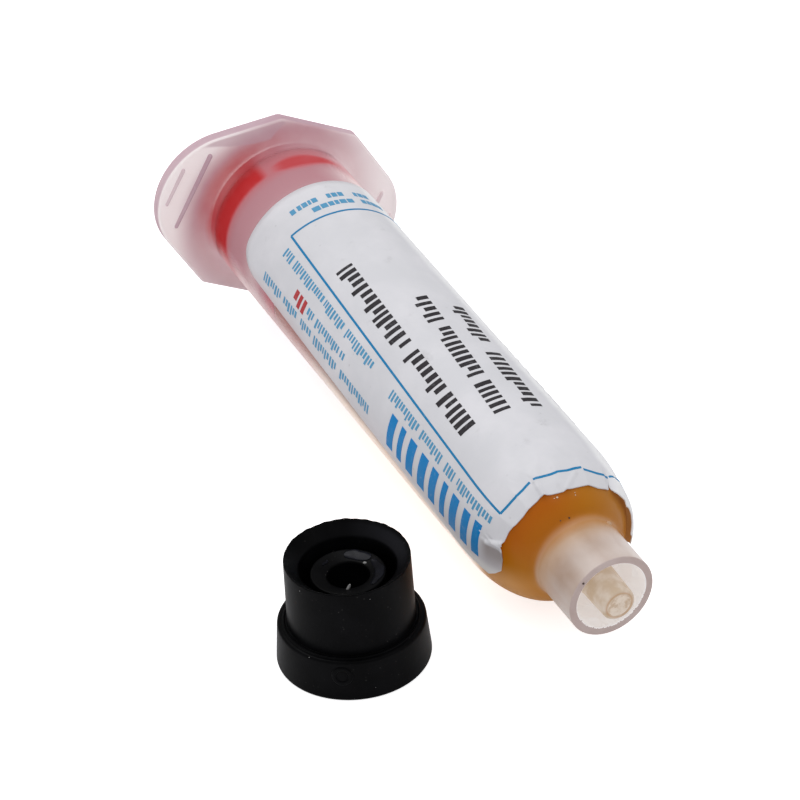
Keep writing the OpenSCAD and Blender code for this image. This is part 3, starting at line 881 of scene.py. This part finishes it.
def facetLift(z, angle):
    # flat facets between the creases: r (1 / cos(angle - middle of the facet) - 1), growing over facetAlong
    i = np.clip(np.searchsorted(facetAngles, angle) - 1, 0, len(facetAngles) - 2)
    middle = (facetAngles[i] + facetAngles[i + 1]) / 2
    amount = labelSizes["facetDepth"] * smoothStep(z, *labelSizes["facetAlong"])
    return labelRadius(z) * (1 / np.cos(np.radians(np.clip(angle - middle, -20, 20))) - 1) * amount


def creaseLift(z, angle):
    # each crease is a ridge or a dent: height x exp(-(distance to its line / half width)^2)
    total, scale = 0, labelSizes["creaseDegreeMm"]
    for z0, a0, z1, a1, height, width in labelCreases:
        px, py, dx, dy = z - z0, (angle - a0) * scale, z1 - z0, (a1 - a0) * scale
        t = np.clip((px * dx + py * dy) / (dx * dx + dy * dy), 0, 1)
        total = total + height * np.exp(-((px - t * dx) ** 2 + (py - t * dy) ** 2) / width ** 2)
    return total


def filmPoint(z, angle, lift=0.0):
    # a place on the film: the radius it lies on, plus facets, creases, the loose flap, a ripple and lift
    f = labelSizes
    z, angle = np.broadcast_arrays(np.asarray(z, float), np.asarray(angle, float))
    flap = smoothStep(angle, *f["flapRound"]) * fade(angle, *f["flapRoundEnd"])
    flap = flap * smoothStep(z, *f["flapAlong"])
    ripple = f["ripple"] * np.sin(z * 0.9 + np.radians(angle) * 3) * np.sin(np.radians(angle) * 5)
    bend = facetLift(z, angle) * (1 - flap) + creaseLift(z, angle) + f["flapLift"] * flap
    return around(z, labelRadius(z) + f["lift"] + lift + np.maximum(bend, -0.02) + np.abs(ripple), angle)


def makeLabel(frontStuff, backStuff):
    # the flat sheet's u runs along the axis and v round it, with a rounded rear corner and the cut front
    f = labelSizes
    # more rows towards the front, and more columns towards the near edge
    u = np.interp(np.linspace(0, 1, f["rows"]), [0.0, 0.4, 1.0], [0.0, 0.84, 1.0])[:, None]
    v = np.linspace(0, 1, f["cols"])[None, :]
    v = f["crowd"] * v ** 2 + (1 - f["crowd"]) * v
    straightZ = f["rearPlace"] + (f["frontPlace"] - f["rearPlace"]) * u
    near = f["nearAngle"] - (straightZ - f["nearPlace"]) * f["nearSlope"]
    angle = near + (f["farAngle"] - near) * v
    arcMm = np.radians(angle - near) * f["filmRadius"]
    corner = f["cornerRadius"]
    rear = f["rearPlace"] + corner - np.sqrt(corner ** 2 - np.maximum(corner - arcMm, 0) ** 2)
    z = rear + (byAngle(angle, labelFront) - rear) * u
    sheet = gridPiece("labelFilm", filmPoint(z, angle), masks=axisPlaces(z, angle), outward=False)
    # normals must point away from the axis before the film gets its thickness
    middle = sheet.data.polygons[len(sheet.data.polygons) // 2]
    outwards = np.array(middle.center) / mm - rearPlace
    outwards -= axisWay * outwards.dot(axisWay)
    if np.dot(outwards, np.array(middle.normal)) < 0:
        sheet.data.flip_normals()
    sheet.data.materials.append(frontStuff)
    sheet.data.materials.append(backStuff)
    solid = sheet.modifiers.new("filmThickness", "SOLIDIFY")
    solid.thickness = f["thickness"] * mm
    solid.offset = 1.0
    solid.material_offset = 1
    return sheet


# plain bars in place of print: the row's ink, start along and round, end along and round, height,
# bar, gap, then the lengths of its groups
printRows = [
    ("black", 60.0, 60.0, 27.0, 67.5, 2.15, 0.62, 0.46, (6.5, 8.5, 0.6, 15.0)),
    ("black", 60.3, 87.0, 36.9, 96.5, 2.0, 0.6, 0.45, (6.0, 10.0, 5.2)),
    ("black", 60.6, 111.0, 38.9, 119.5, 2.0, 0.6, 0.45, (11.5, 8.0)),
    ("black", 60.8, 153.0, 44.0, 158.0, 2.0, 0.6, 0.45, (9.0, 6.0)),
    ("blue", 71.0, 28.0, 46.6, 35.0, 1.15, 0.32, 0.26, (7.2, 2.4, 5.0, 7.2)),
    ("deepBlue", 70.2, 8.0, 47.2, 13.8, 4.1, 1.3, 1.05, (23.0,)),
    ("blue", 41.8, 37.0, 17.7, 43.5, 1.15, 0.32, 0.26, (7.4, 5.0, 8.0, 2.2)),
    ("blue", 36.6, 23.5, 26.8, 26.0, 1.15, 0.32, 0.26, (0.9, 6.2, 1.6)),
    ("red", 26.3, 26.0, 22.9, 27.0, 1.6, 0.62, 0.4, (3.4,)),
    ("blue", 44.0, 10.0, 16.0, 17.0, 1.15, 0.32, 0.26, (7.6, 5.8, 3.0, 3.4, 4.8)),
]
# two short rows that run round the label's rear: place along, then where each mark starts and ends
rearRows = {
    15.6: ((78, 84), (85, 90), (91, 95), (96, 99), (100, 105), (106, 111), (118, 122), (123, 126),
           (127, 132), (133, 138)),
    14.0: ((64, 68), (70, 73), (74, 78), (79, 81), (82, 86), (94, 97), (98, 102), (103, 107),
           (116, 119), (120, 124), (125, 129)),
}
# the frame line through (angle, place along): round the rear, along both sides, and round the front in
# the stretches that the creases leave
frameStretches = [
    [(54, 17.0), (90, 17.5), (130, 17.7), (232, 17.8)],
    [(54, 17.0), (38.0, 71.6)], [(232, 17.8), (232, 71.6)],
    [(38.0, 71.6), (46.0, 71.7), (54.0, 71.75), (61.5, 71.65), (69.0, 71.4)],
    [(72.0, 71.4), (85.0, 71.8), (98.0, 71.95), (110.0, 71.85)],
    [(111.0, 72.15), (123.0, 72.4), (134.0, 72.45), (142.5, 72.0)], [(144.0, 72.0), (232.0, 71.6)],
]
lineWidths = {"frame": 0.27, "rear": 0.85}


def rowMarks(row, rng):
    # shares of the row's length for each bar: even bars and gaps, each varied by up to a quarter, in groups
    bar, gap, groups = row[6:]
    full = math.hypot(row[3] - row[1], (row[4] - row[2]) * labelSizes["degreeMm"])
    space = (full - sum(groups)) / max(1, len(groups) - 1)
    at, marks = 0.0, []
    for group in groups:
        place = at
        while place + bar * 0.6 < at + group + 0.01:
            width = bar * rng.uniform(0.75, 1.25)
            width = min(width, at + group - place)
            marks.append((place / full, (place + width) / full, rng.random() < 0.45))
            place += width + gap * rng.uniform(0.8, 1.2)
        at += group + space
    return marks


def printPatch(zStart, aStart, zEnd, aEnd, height):
    # a rectangle of ink on the film: along its row and across it, following the film's surface
    t = np.linspace(0, 1, int(abs(zEnd - zStart) / 0.3) + 2)[:, None]
    w = np.linspace(-0.5, 0.5, int(height / 0.22) + 3)[None, :]
    z = zStart + (zEnd - zStart) * t + 0 * w
    angle = aStart + (aEnd - aStart) * t + np.degrees(height / labelRadius(z)) * w
    return filmPoint(z, angle, labelSizes["inkLift"])


def ringPatch(zStart, zEnd, aStart, aEnd, width):
    # a line of ink that runs round the film, or slantwise on it
    steps = int(abs(aEnd - aStart) / 0.7 + abs(zEnd - zStart) / 0.6) + 4
    t = np.linspace(0, 1, steps)[:, None]
    w = np.linspace(-0.5, 0.5, 3)[None, :]
    alongMm, roundMm = zEnd - zStart, (aEnd - aStart) * labelSizes["degreeMm"]
    size = math.hypot(alongMm, roundMm)
    z = zStart + (zEnd - zStart) * t - w * width * roundMm / size
    angle = aStart + (aEnd - aStart) * t + w * width * alongMm / size / labelSizes["degreeMm"]
    return filmPoint(z, angle, labelSizes["inkLift"])


def makeInk():
    # all patches of ink by colour: some bars are full height, the others keep to the row's foot
    rng = np.random.default_rng(41)
    patches = {"black": [], "blue": [], "deepBlue": [], "red": [], "frame": []}
    for row in printRows:
        kind, zStart, aStart, zEnd, aEnd, height = row[:6]
        for a, b, low in rowMarks(row, rng):
            tall = height * (0.7 if low and height < 3 else 1.0)
            down = math.degrees((height - tall) / 2 / labelSizes["filmRadius"])
            patches[kind].append(printPatch(
                zStart + (zEnd - zStart) * a, aStart + (aEnd - aStart) * a + down,
                zStart + (zEnd - zStart) * b, aStart + (aEnd - aStart) * b + down, tall))
    for z, marks in rearRows.items():
        patches["blue"] += [ringPatch(z, z + 0.03, a, b, lineWidths["rear"]) for a, b in marks]
    for stretch in frameStretches:
        for (a0, z0), (a1, z1) in zip(stretch[:-1], stretch[1:]):
            patches["frame"].append(ringPatch(z0, z1, a0, a1, lineWidths["frame"]))
    return patches


def inkMesh(name, patches):
    # many open grids of ink given a few hundredths of thickness each, as closed slabs
    slabs = []
    for top in patches:
        out = top - rearPlace - ((top - rearPlace) @ axisWay)[..., None] * axisWay
        out /= np.linalg.norm(out, axis=-1)[..., None]
        slabs.append(slabPiece("slab", top, top - out * labelSizes["inkDepth"]))
    return joinPieces(name, slabs, smooth=False)


labelLook = {
    "film": srgb("DFDEE3"), "shade": srgb("D5D5DA"), "pinkReflection": srgb("D3BDBE"), "dirt": srgb("A29FA2"),
    "farEdge": srgb("F2F2F4"), "foldShade": srgb("8C7F7C"), "floorBounceLight": srgb("FBFAF9"),
    "back": srgb("CFCBC6"), "frontAmber": srgb("A87844"), "backGlow": 0.25, "frontAmberGlow": 0.11,
}
inkLook = {
    "black": srgb("322F33"), "blue": srgb("579AC2"), "deepBlue": srgb("0081C6"), "red": srgb("B63C40"),
    "frame": srgb("1C80B4"), "worn": srgb("C9CCD2"), "wear": 0.12,
}


def labelMaterial():
    look = labelLook
    material, n, shader = newMaterial("whiteLabelFilm", IOR=1.45, Specular_IOR_Level=0.35)
    place, turn, along = n.place(), n.mask("roundAxis"), n.mask("alongAxis")
    base = n.mix(n.ramp(n.noise(place, 120.0, 4.0, 0.6), 0.35, 0.75), look["shade"], look["film"])
    # painted light: a pink reflection of the red piston along the low edge towards the rear,
    # a painted backlight on the far side, and painted shade in the fold at the front
    pinkReflectionSide = n.times(n.ramp(turn, -4.0, 16.0, 1.0, 0.0), n.ramp(along, 20.0, 34.0, 1.0, 0.15), 0.8)
    base = n.mix(pinkReflectionSide, base, look["pinkReflection"])
    turnLate = n.math("SUBTRACT", turn, n.ramp(along, 69.5, 72.0, 0.0, 7.0))
    base = n.mix(n.ramp(turnLate, 126.0, 138.0), base, look["farEdge"])
    # painted bounce light from the table: lighter towards the low edge
    floorBounceLight = n.times(n.ramp(turn, -13.0, -3.0, 0.9, 0.0), n.ramp(along, 40.0, 56.0))
    base = n.mix(floorBounceLight, base, look["floorBounceLight"])
    fold = n.times(n.ramp(turn, 10.5, 13.5, 1.0, 0.0), n.ramp(turn, -12.0, 9.0, 0.15, 0.75),
                   n.ramp(along, 69.8, 71.8))
    base = n.mix(fold, base, look["foldShade"])
    base = n.mix(n.ramp(n.noise(place, 340.0, 5.0, 0.65), 0.6, 0.8, 0.0, 0.3), base, look["dirt"])
    base = n.mix(n.group(tableDust, Amount=0.4, Scale=700.0)["Dust"], base, look["dirt"])
    paint(n, shader, base, n.varied(400.0, 0.4, 0.52))
    addBump(n, shader, n.noise(place, 230.0, 2.0, 0.4), 0.00014, 0.4)
    return material


def labelBackMaterial():
    # the glued side: grey-white, amber towards its front, and both glow a little as painted light
    look = labelLook
    material, n, shader = newMaterial("gluedLabelBack", IOR=1.45)
    ragged = n.times(n.math("SUBTRACT", n.noise(n.place(), 300.0), 0.5), 0.3)
    front = n.math("ADD", n.ramp(n.mask("alongAxis"), 62.0, 70.0), ragged, clamp=True)
    glow = n.math("ADD", n.times(front, look["frontAmberGlow"]), look["backGlow"])
    paint(n, shader, n.mix(front, look["back"], look["frontAmber"]), n.varied(500.0, 0.3, 0.5), glow)
    return material


def inkMaterial(name, colour):
    material, n, shader = newMaterial(name, IOR=1.45, Specular_IOR_Level=0.25)
    wear = n.ramp(n.noise(n.place(), 1600.0, 3.0, 0.7), 0.55, 0.75, 0.0, inkLook["wear"])
    paint(n, shader, n.mix(wear, colour, inkLook["worn"]), n.varied(500.0, 0.42, 0.55))
    return material


# The tip cap, with what sticks to it

capSizes = {
    "height": 13.2, "topRadius": 6.9, "bodyRadius": 7.03,
    "ringTop": 8.13, "ringBase": 8.53, "ringHeight": 5.0,
    "grooveRadius": 5.3, "rimDrop": 1.4, "postRadius": 4.14, "postTop": 11.1, "grooveFloor": 4.1,
    "socketRadius": 2.275, "socketFloor": 2.4, "funnel": 0.5, "edge": 0.4, "recess": 0.5, "foot": 1.6,
    "beadRadius": 7.42, "rimWave": 0.032, "sheenMiddle": 96.0, "sheenSpread": 42.0,
    "gateHeight": 3.25, "gateAngle": -34.0, "gateRadius": 0.92, "gateWidth": 0.26, "gateRise": 0.13,
    "gateSunk": 0.03, "smearRise": 0.06,
}
shelf = capSizes["postTop"] - capSizes["funnel"]
# wet patches on the post's top: start and end angle, inner and outer radius
smearPlaces = [(108, 162, 2.6, 3.92), (22, 104, 2.85, 3.88), (196, 214, 3.0, 3.35)]
# distance from the cap's axis, angle and size of each wet drop
smearDrops = [(3.3, 128, 0.09), (2.7, 60, 0.07)]
# distance from the cap's axis, height, angle and size: beads at the socket's edge, specks on rim and foot
crumbPlaces = [(2.6, shelf + 0.1, 110.0, 0.2), (2.95, shelf + 0.16, 82.5, 0.08), (6.95, 12.4, -73.0, 0.07),
               (6.6, 12.9, 268.0, 0.06), (7.0, 12.2, -6.0, 0.05), (8.2, 4.98, -60.0, 0.06),
               (8.45, 1.4, -10.0, 0.04)]
flakePlace = {"at": (2.5, shelf + 0.12, -26.0), "size": (0.52, 0.16, 0.2), "turn": 115.0, "tilt": -38.0}
capLow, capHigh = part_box("tip_cap")
capCentre = np.array([(capLow.x + capHigh.x) / 2, (capLow.y + capHigh.y) / 2, 0.0]) / mm


def capPlace(r, z, angle):
    # point = the cap's centre + (r cos angle, r sin angle, z)
    r, z, angle = np.broadcast_arrays(r, z, np.radians(angle))
    return capCentre + np.stack([r * np.cos(angle), r * np.sin(angle), z], -1)


def rimWaves(z, angle):
    # the cut rim is uneven by a few hundredths: three waves, only near the rim's top
    turn = np.radians(angle)
    waves = np.sin(turn * 7 + 1.0) + 0.8 * np.sin(turn * 19) + 0.9 * np.sin(turn * 37 + 2.0)
    return capSizes["rimWave"] * waves * smoothStep(z, capSizes["height"] - 0.5, capSizes["height"] - 0.1)


def paintedConeSheen(r, z, angle):
    # a painted sheen: the rim's inner slope is paler on one side, as a highlight: a bell over the angle, within
    # the slope
    c = capSizes
    onSlope = (smoothStep(r, c["grooveRadius"] - 0.1, c["grooveRadius"] + 0.3)
               * fade(r, c["topRadius"] - 0.5, c["topRadius"] - 0.2) * (z > c["height"] - c["rimDrop"] - 0.3))
    return onSlope * np.exp(-((angle - c["sheenMiddle"]) / c["sheenSpread"]) ** 2)


def makeCap():
    # a closed loop of (r, z) turned about the cap's upright axis, its rim raised by the rim's waves
    c = capSizes
    ring, bead, edge = c["ringHeight"], c["beadRadius"], c["edge"]
    profile = roundedPath([
        (0.0, c["recess"], 0), (c["ringBase"] - c["foot"] - c["recess"], c["recess"], 0.2),
        (c["ringBase"] - c["foot"], 0.0, 0.2), (c["ringBase"], 0.0, edge), (c["ringTop"], ring, edge),
        (bead + 0.16, ring, 0.05), (bead + 0.08, ring + 0.09, 0.05), (bead - 0.08, ring + 0.09, 0.05),
        (bead - 0.14, ring, 0.05), (c["bodyRadius"], ring, 0.05), (c["topRadius"], c["height"], 0.28),
        (c["grooveRadius"], c["height"] - c["rimDrop"], 0.25), (c["grooveRadius"], c["grooveFloor"], 0.3),
        (c["postRadius"], c["grooveFloor"], 0.3), (c["postRadius"], c["postTop"], 0.3),
        (c["socketRadius"], shelf, 0.25), (c["socketRadius"], c["socketFloor"], 0.2),
        (0.0, c["socketFloor"], 0)], steps=6, spacing=0.7)
    r, z, angle = profile[:, :1], profile[:, 1:], ringAngles(192)
    return gridPiece("tipCapShell", capPlace(r, z + rimWaves(z, angle), angle), wrapRows=True, wrapCols=True,
                     masks={"coneSheen": paintedConeSheen(r, z, angle)})


def makeGateMark():
    # a low ring on the foot's side: a circle of marks whose section is a half ellipse
    c = capSizes
    circle, section = np.radians(ringAngles(48)).T, np.radians(ringAngles(12))
    reach = c["gateRadius"] + c["gateWidth"] * np.cos(section)
    side, z = reach * np.cos(circle), c["gateHeight"] + reach * np.sin(circle)
    wall = c["ringBase"] + (c["ringTop"] - c["ringBase"]) * z / c["ringHeight"]
    lift = np.where(np.sin(section) > 0, c["gateRise"], c["gateSunk"]) * np.sin(section)
    return gridPiece("gateMark", capPlace(wall + lift, z, c["gateAngle"] + np.degrees(side / wall)),
                     wrapRows=True, wrapCols=True)


def funnelHeight(r):
    # the post's top slopes evenly from its outer edge down to the socket
    c = capSizes
    share = np.clip((c["postRadius"] - r) / (c["postRadius"] - c["socketRadius"]), 0, 1)
    return c["postTop"] - c["funnel"] * share


def makeSmears():
    # thin wet patches on the post's top: inner and outer edges waver with the angle, and both ends taper
    pieces = []
    t, w = np.linspace(0, 1, 60)[:, None], np.linspace(0, 1, 13)[None, :]
    taper = np.clip(np.sin(np.pi * t), 0, 1) ** 0.3
    for start, end, low, high in smearPlaces:
        waver = 0.05 * np.sin(t * 9 + start) + 0.02 * np.sin(t * 23)
        r = (low + high) / 2 + waver + (2 * w - 1) * (high - low) / 2 * taper * (1 + waver)
        z, angle = funnelHeight(r), start + (end - start) * t
        top = z + capSizes["smearRise"] * (1 - (2 * w - 1) ** 4) + 0.035
        pieces.append(slabPiece("smear", capPlace(r, top, angle), capPlace(r, z - 0.02, angle)))
    for r, angle, size in smearDrops:
        pieces.append(dropPiece("drop", capPlace(r, funnelHeight(r), angle), size, 0.6))
    return joinPieces("wetSmears", pieces)


def makeCapDust():
    # pale crumbs: a long flake turned and tilted into place, and flattened balls
    f = flakePlace
    flake = dropPiece("flake", (0.0, 0.0, 0.0), np.array(f["size"]))
    flake.data.transform(Matrix.Translation(Vector(capPlace(*f["at"]).tolist()) * mm)
                         @ Matrix.Rotation(math.radians(f["turn"]), 4, "Z")
                         @ Matrix.Rotation(math.radians(f["tilt"]), 4, "Y"))
    crumbs = [dropPiece("crumb", capPlace(r, z, a), size, 0.5) for r, z, a, size in crumbPlaces]
    return joinPieces("paleCrumbs", [flake] + crumbs)


capLook = {
    "black": srgb("050506"), "grey": srgb("0B0B0D"), "coneSheen": srgb("1D1D21"), "dust": srgb("5A5856"),
    "wet": srgb("0A0A10"), "wetPale": srgb("11121B"), "crumb": srgb("6A6B6E"), "crumbPale": srgb("908F8D"),
}


def wetMaterial():
    material, n, shader = newMaterial("wetSmear", IOR=1.5, Specular_IOR_Level=0.13)
    tint = n.ramp(n.noise(n.place(), 500.0, 3.0), 0.35, 0.7)
    paint(n, shader, n.mix(tint, capLook["wet"], capLook["wetPale"]), n.varied(900.0, 0.16, 0.3))
    return material


def capMaterial():
    look = capLook
    material, n, shader = newMaterial("satinBlackPlastic", IOR=1.5, Specular_IOR_Level=0.06)
    grain = n.group(mouldedGrain, Rough=0.36, Spread=0.14, Pit_Size=2200.0)
    base = n.mix(n.ramp(n.noise(n.place(), 240.0, 3.0), 0.4, 0.75), look["black"], look["grey"])
    # painted sheen: paler on one side of the rim's inner slope
    base = n.mix(n.mask("coneSheen"), base, look["coneSheen"])
    dust = n.group(tableDust, Amount=0.5, Scale=1500.0)["Dust"]
    paint(n, shader, n.mix(dust, base, look["dust"]), grain["Roughness"])
    addBump(n, shader, grain["Height"], 0.00002, 0.4)
    return material


# Every piece, made and tied to its CAD node

barrelStuff = barrelMaterial()
finishPiece(makeBarrel(), barrelStuff, "barrel", sharpAngle=50)
finishPiece(makeGripRibs(), barrelStuff, "barrel")
print("barrel made")

finishPiece(makePiston(), pistonMaterial(), "piston", sharpAngle=50)
finishPiece(makePistonGlow(), glowMaterial(), "piston", sharpAngle=60)
print("piston made")

fluxStuff, residueStuff = fluxMaterial(), residueMaterial()
fluxColumn = finishPiece(makeFluxColumn(), fluxStuff, "flux_paste", sharpAngle=50)
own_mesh(fluxColumn)
finishPiece(makeFluxDome(), fluxStuff, "flux_paste", sharpAngle=60)
finishPiece(makeTipResidue(), residueStuff, "flux_paste", sharpAngle=60)
# pale beads as painted glints on the shoulder
finishPiece(makeDrops("shoulderGlintDrops", shoulderGlints, 0.7), residueStuff, "flux_paste")
finishPiece(makeFootNub(), barrelStuff, "barrel")
gritStuff = speckMaterial("darkGrit", 4000.0, fluxLook["grit"], fluxLook["gritPale"], 0.6)
finishPiece(makeDrops("gritSpecks", gritPlaces, 1.0), gritStuff, "barrel")
print("flux made")

finishPiece(makeLabel(labelMaterial(), labelBackMaterial()), None, "label")
for kind, patches in makeInk().items():
    inkStuff = inkMaterial(kind + ("LineInk" if kind == "frame" else "PrintInk"), inkLook[kind])
    finishPiece(inkMesh(kind + "Ink", patches), inkStuff, "label")
print("label made")

capStuff = capMaterial()
finishPiece(makeCap(), capStuff, "tip_cap", sharpAngle=50)
finishPiece(makeGateMark(), capStuff, "tip_cap")
finishPiece(makeSmears(), wetMaterial(), "tip_cap")
crumbStuff = speckMaterial("paleCrumb", 3000.0, capLook["crumb"], capLook["crumbPale"], 0.7)
finishPiece(makeCapDust(), crumbStuff, "tip_cap")
print("tip cap made")


# The table, the light and the camera

stageLook = {
    "floor": srgb("E2E2E4"), "half": 3.0, "lift": 0.72, "fill": 0.77, "gloss": 0.25,
    # place and aim in metres, size in metres and power in watts
    "lamps": {
        "softKey": ((-0.38, -0.14, 0.9), (0, 0, 0), (0.55, 0.55), 1.9),
        "topPanel": ((-0.385, 0.175, 0.907), (0, 0, 0), (0.35, 0.35), 0.55),
        "domeDot": ((0.337, 0.063, 0.939), (0.03, 0.0, 0.01), (0.07, 0.07), 0.22),
        "sideDot": ((0.351, 0.512, 0.781), (0.03, 0.0, 0.01), (0.04, 0.09), 0.16),
    },
}
cameraPlace = {
    "lookAt": (-14.02, 10.24, 0.0), "azimuth": 65.53, "elevation": 34.97,
    "distance": 504.3, "roll": 4.02, "lens": 191.96,
}


def makeTable():
    # a flat pale table; for the camera it is lifted to white, and it keeps the object's shadow
    mesh, half = bpy.data.meshes.new("tableTop"), stageLook["half"]
    corners = [(-half, -half, 0), (half, -half, 0), (half, half, 0), (-half, half, 0)]
    mesh.from_pydata(corners, [], [(0, 1, 2, 3)])
    material, n, shader = newMaterial("paleTable", Base_Color=stageLook["floor"], Roughness=0.6,
                                      Specular_IOR_Level=0.2, Emission_Color=(1, 1, 1, 1))
    rays = n.add("ShaderNodeLightPath").outputs
    seen = n.math("MAXIMUM", rays["Is Camera Ray"], rays["Is Transmission Ray"])
    n.put(shader.inputs["Emission Strength"], n.times(seen, stageLook["lift"]))
    mesh.materials.append(material)
    placeObject("tableTop", mesh)


def makeWorld():
    # white for the camera, softer for the light it gives and for what shiny faces mirror
    world = bpy.data.worlds.new("softRoom")
    bpy.context.scene.world = world
    world.use_nodes = True
    n, back = Nodes(world.node_tree), world.node_tree.nodes["Background"]
    n.put(back.inputs["Color"], (1, 1, 1, 1))
    rays = n.add("ShaderNodeLightPath").outputs
    soft = n.ramp(rays["Is Glossy Ray"], 0.0, 1.0, stageLook["fill"], stageLook["gloss"])
    n.put(back.inputs["Strength"], n.math("MAXIMUM", soft, rays["Is Camera Ray"]))


def addLamp(name, place, aim, size, power):
    lamp = bpy.data.lights.new(name, "AREA")
    lamp.shape = "RECTANGLE"
    lamp.size, lamp.size_y = size
    lamp.energy = power
    holder = placeObject(name, lamp)
    holder.location = place
    holder.rotation_euler = (Vector(aim) - Vector(place)).to_track_quat("-Z", "Y").to_euler()


def makeCamera():
    # the camera stands on a sphere round lookAt and leans by roll, as the photo's does
    c = cameraPlace
    swing, rise, roll = (math.radians(c[key]) for key in ("azimuth", "elevation", "roll"))
    way = Vector((-math.sin(swing) * math.cos(rise), math.cos(swing) * math.cos(rise), -math.sin(rise)))
    right = way.cross(Vector((0, 0, 1))).normalized()
    up = right.cross(way)
    leanRight = right * math.cos(roll) - up * math.sin(roll)
    leanUp = up * math.cos(roll) + right * math.sin(roll)
    camera = bpy.data.cameras.new("photoCamera")
    camera.lens = c["lens"]
    camera.sensor_width = 36
    camera.clip_start = 0.01
    holder = placeObject("photoCamera", camera)
    turn = Matrix((leanRight, leanUp, -way)).transposed().to_4x4()
    holder.matrix_world = Matrix.Translation(Vector(c["lookAt"]) * mm - way * c["distance"] * mm) @ turn
    bpy.context.scene.camera = holder


makeTable()
makeWorld()
for name, lampPlace in stageLook["lamps"].items():
    addLamp(name, *lampPlace)
makeCamera()
bpy.context.scene.view_settings.view_transform = "Standard"
print("stage made")
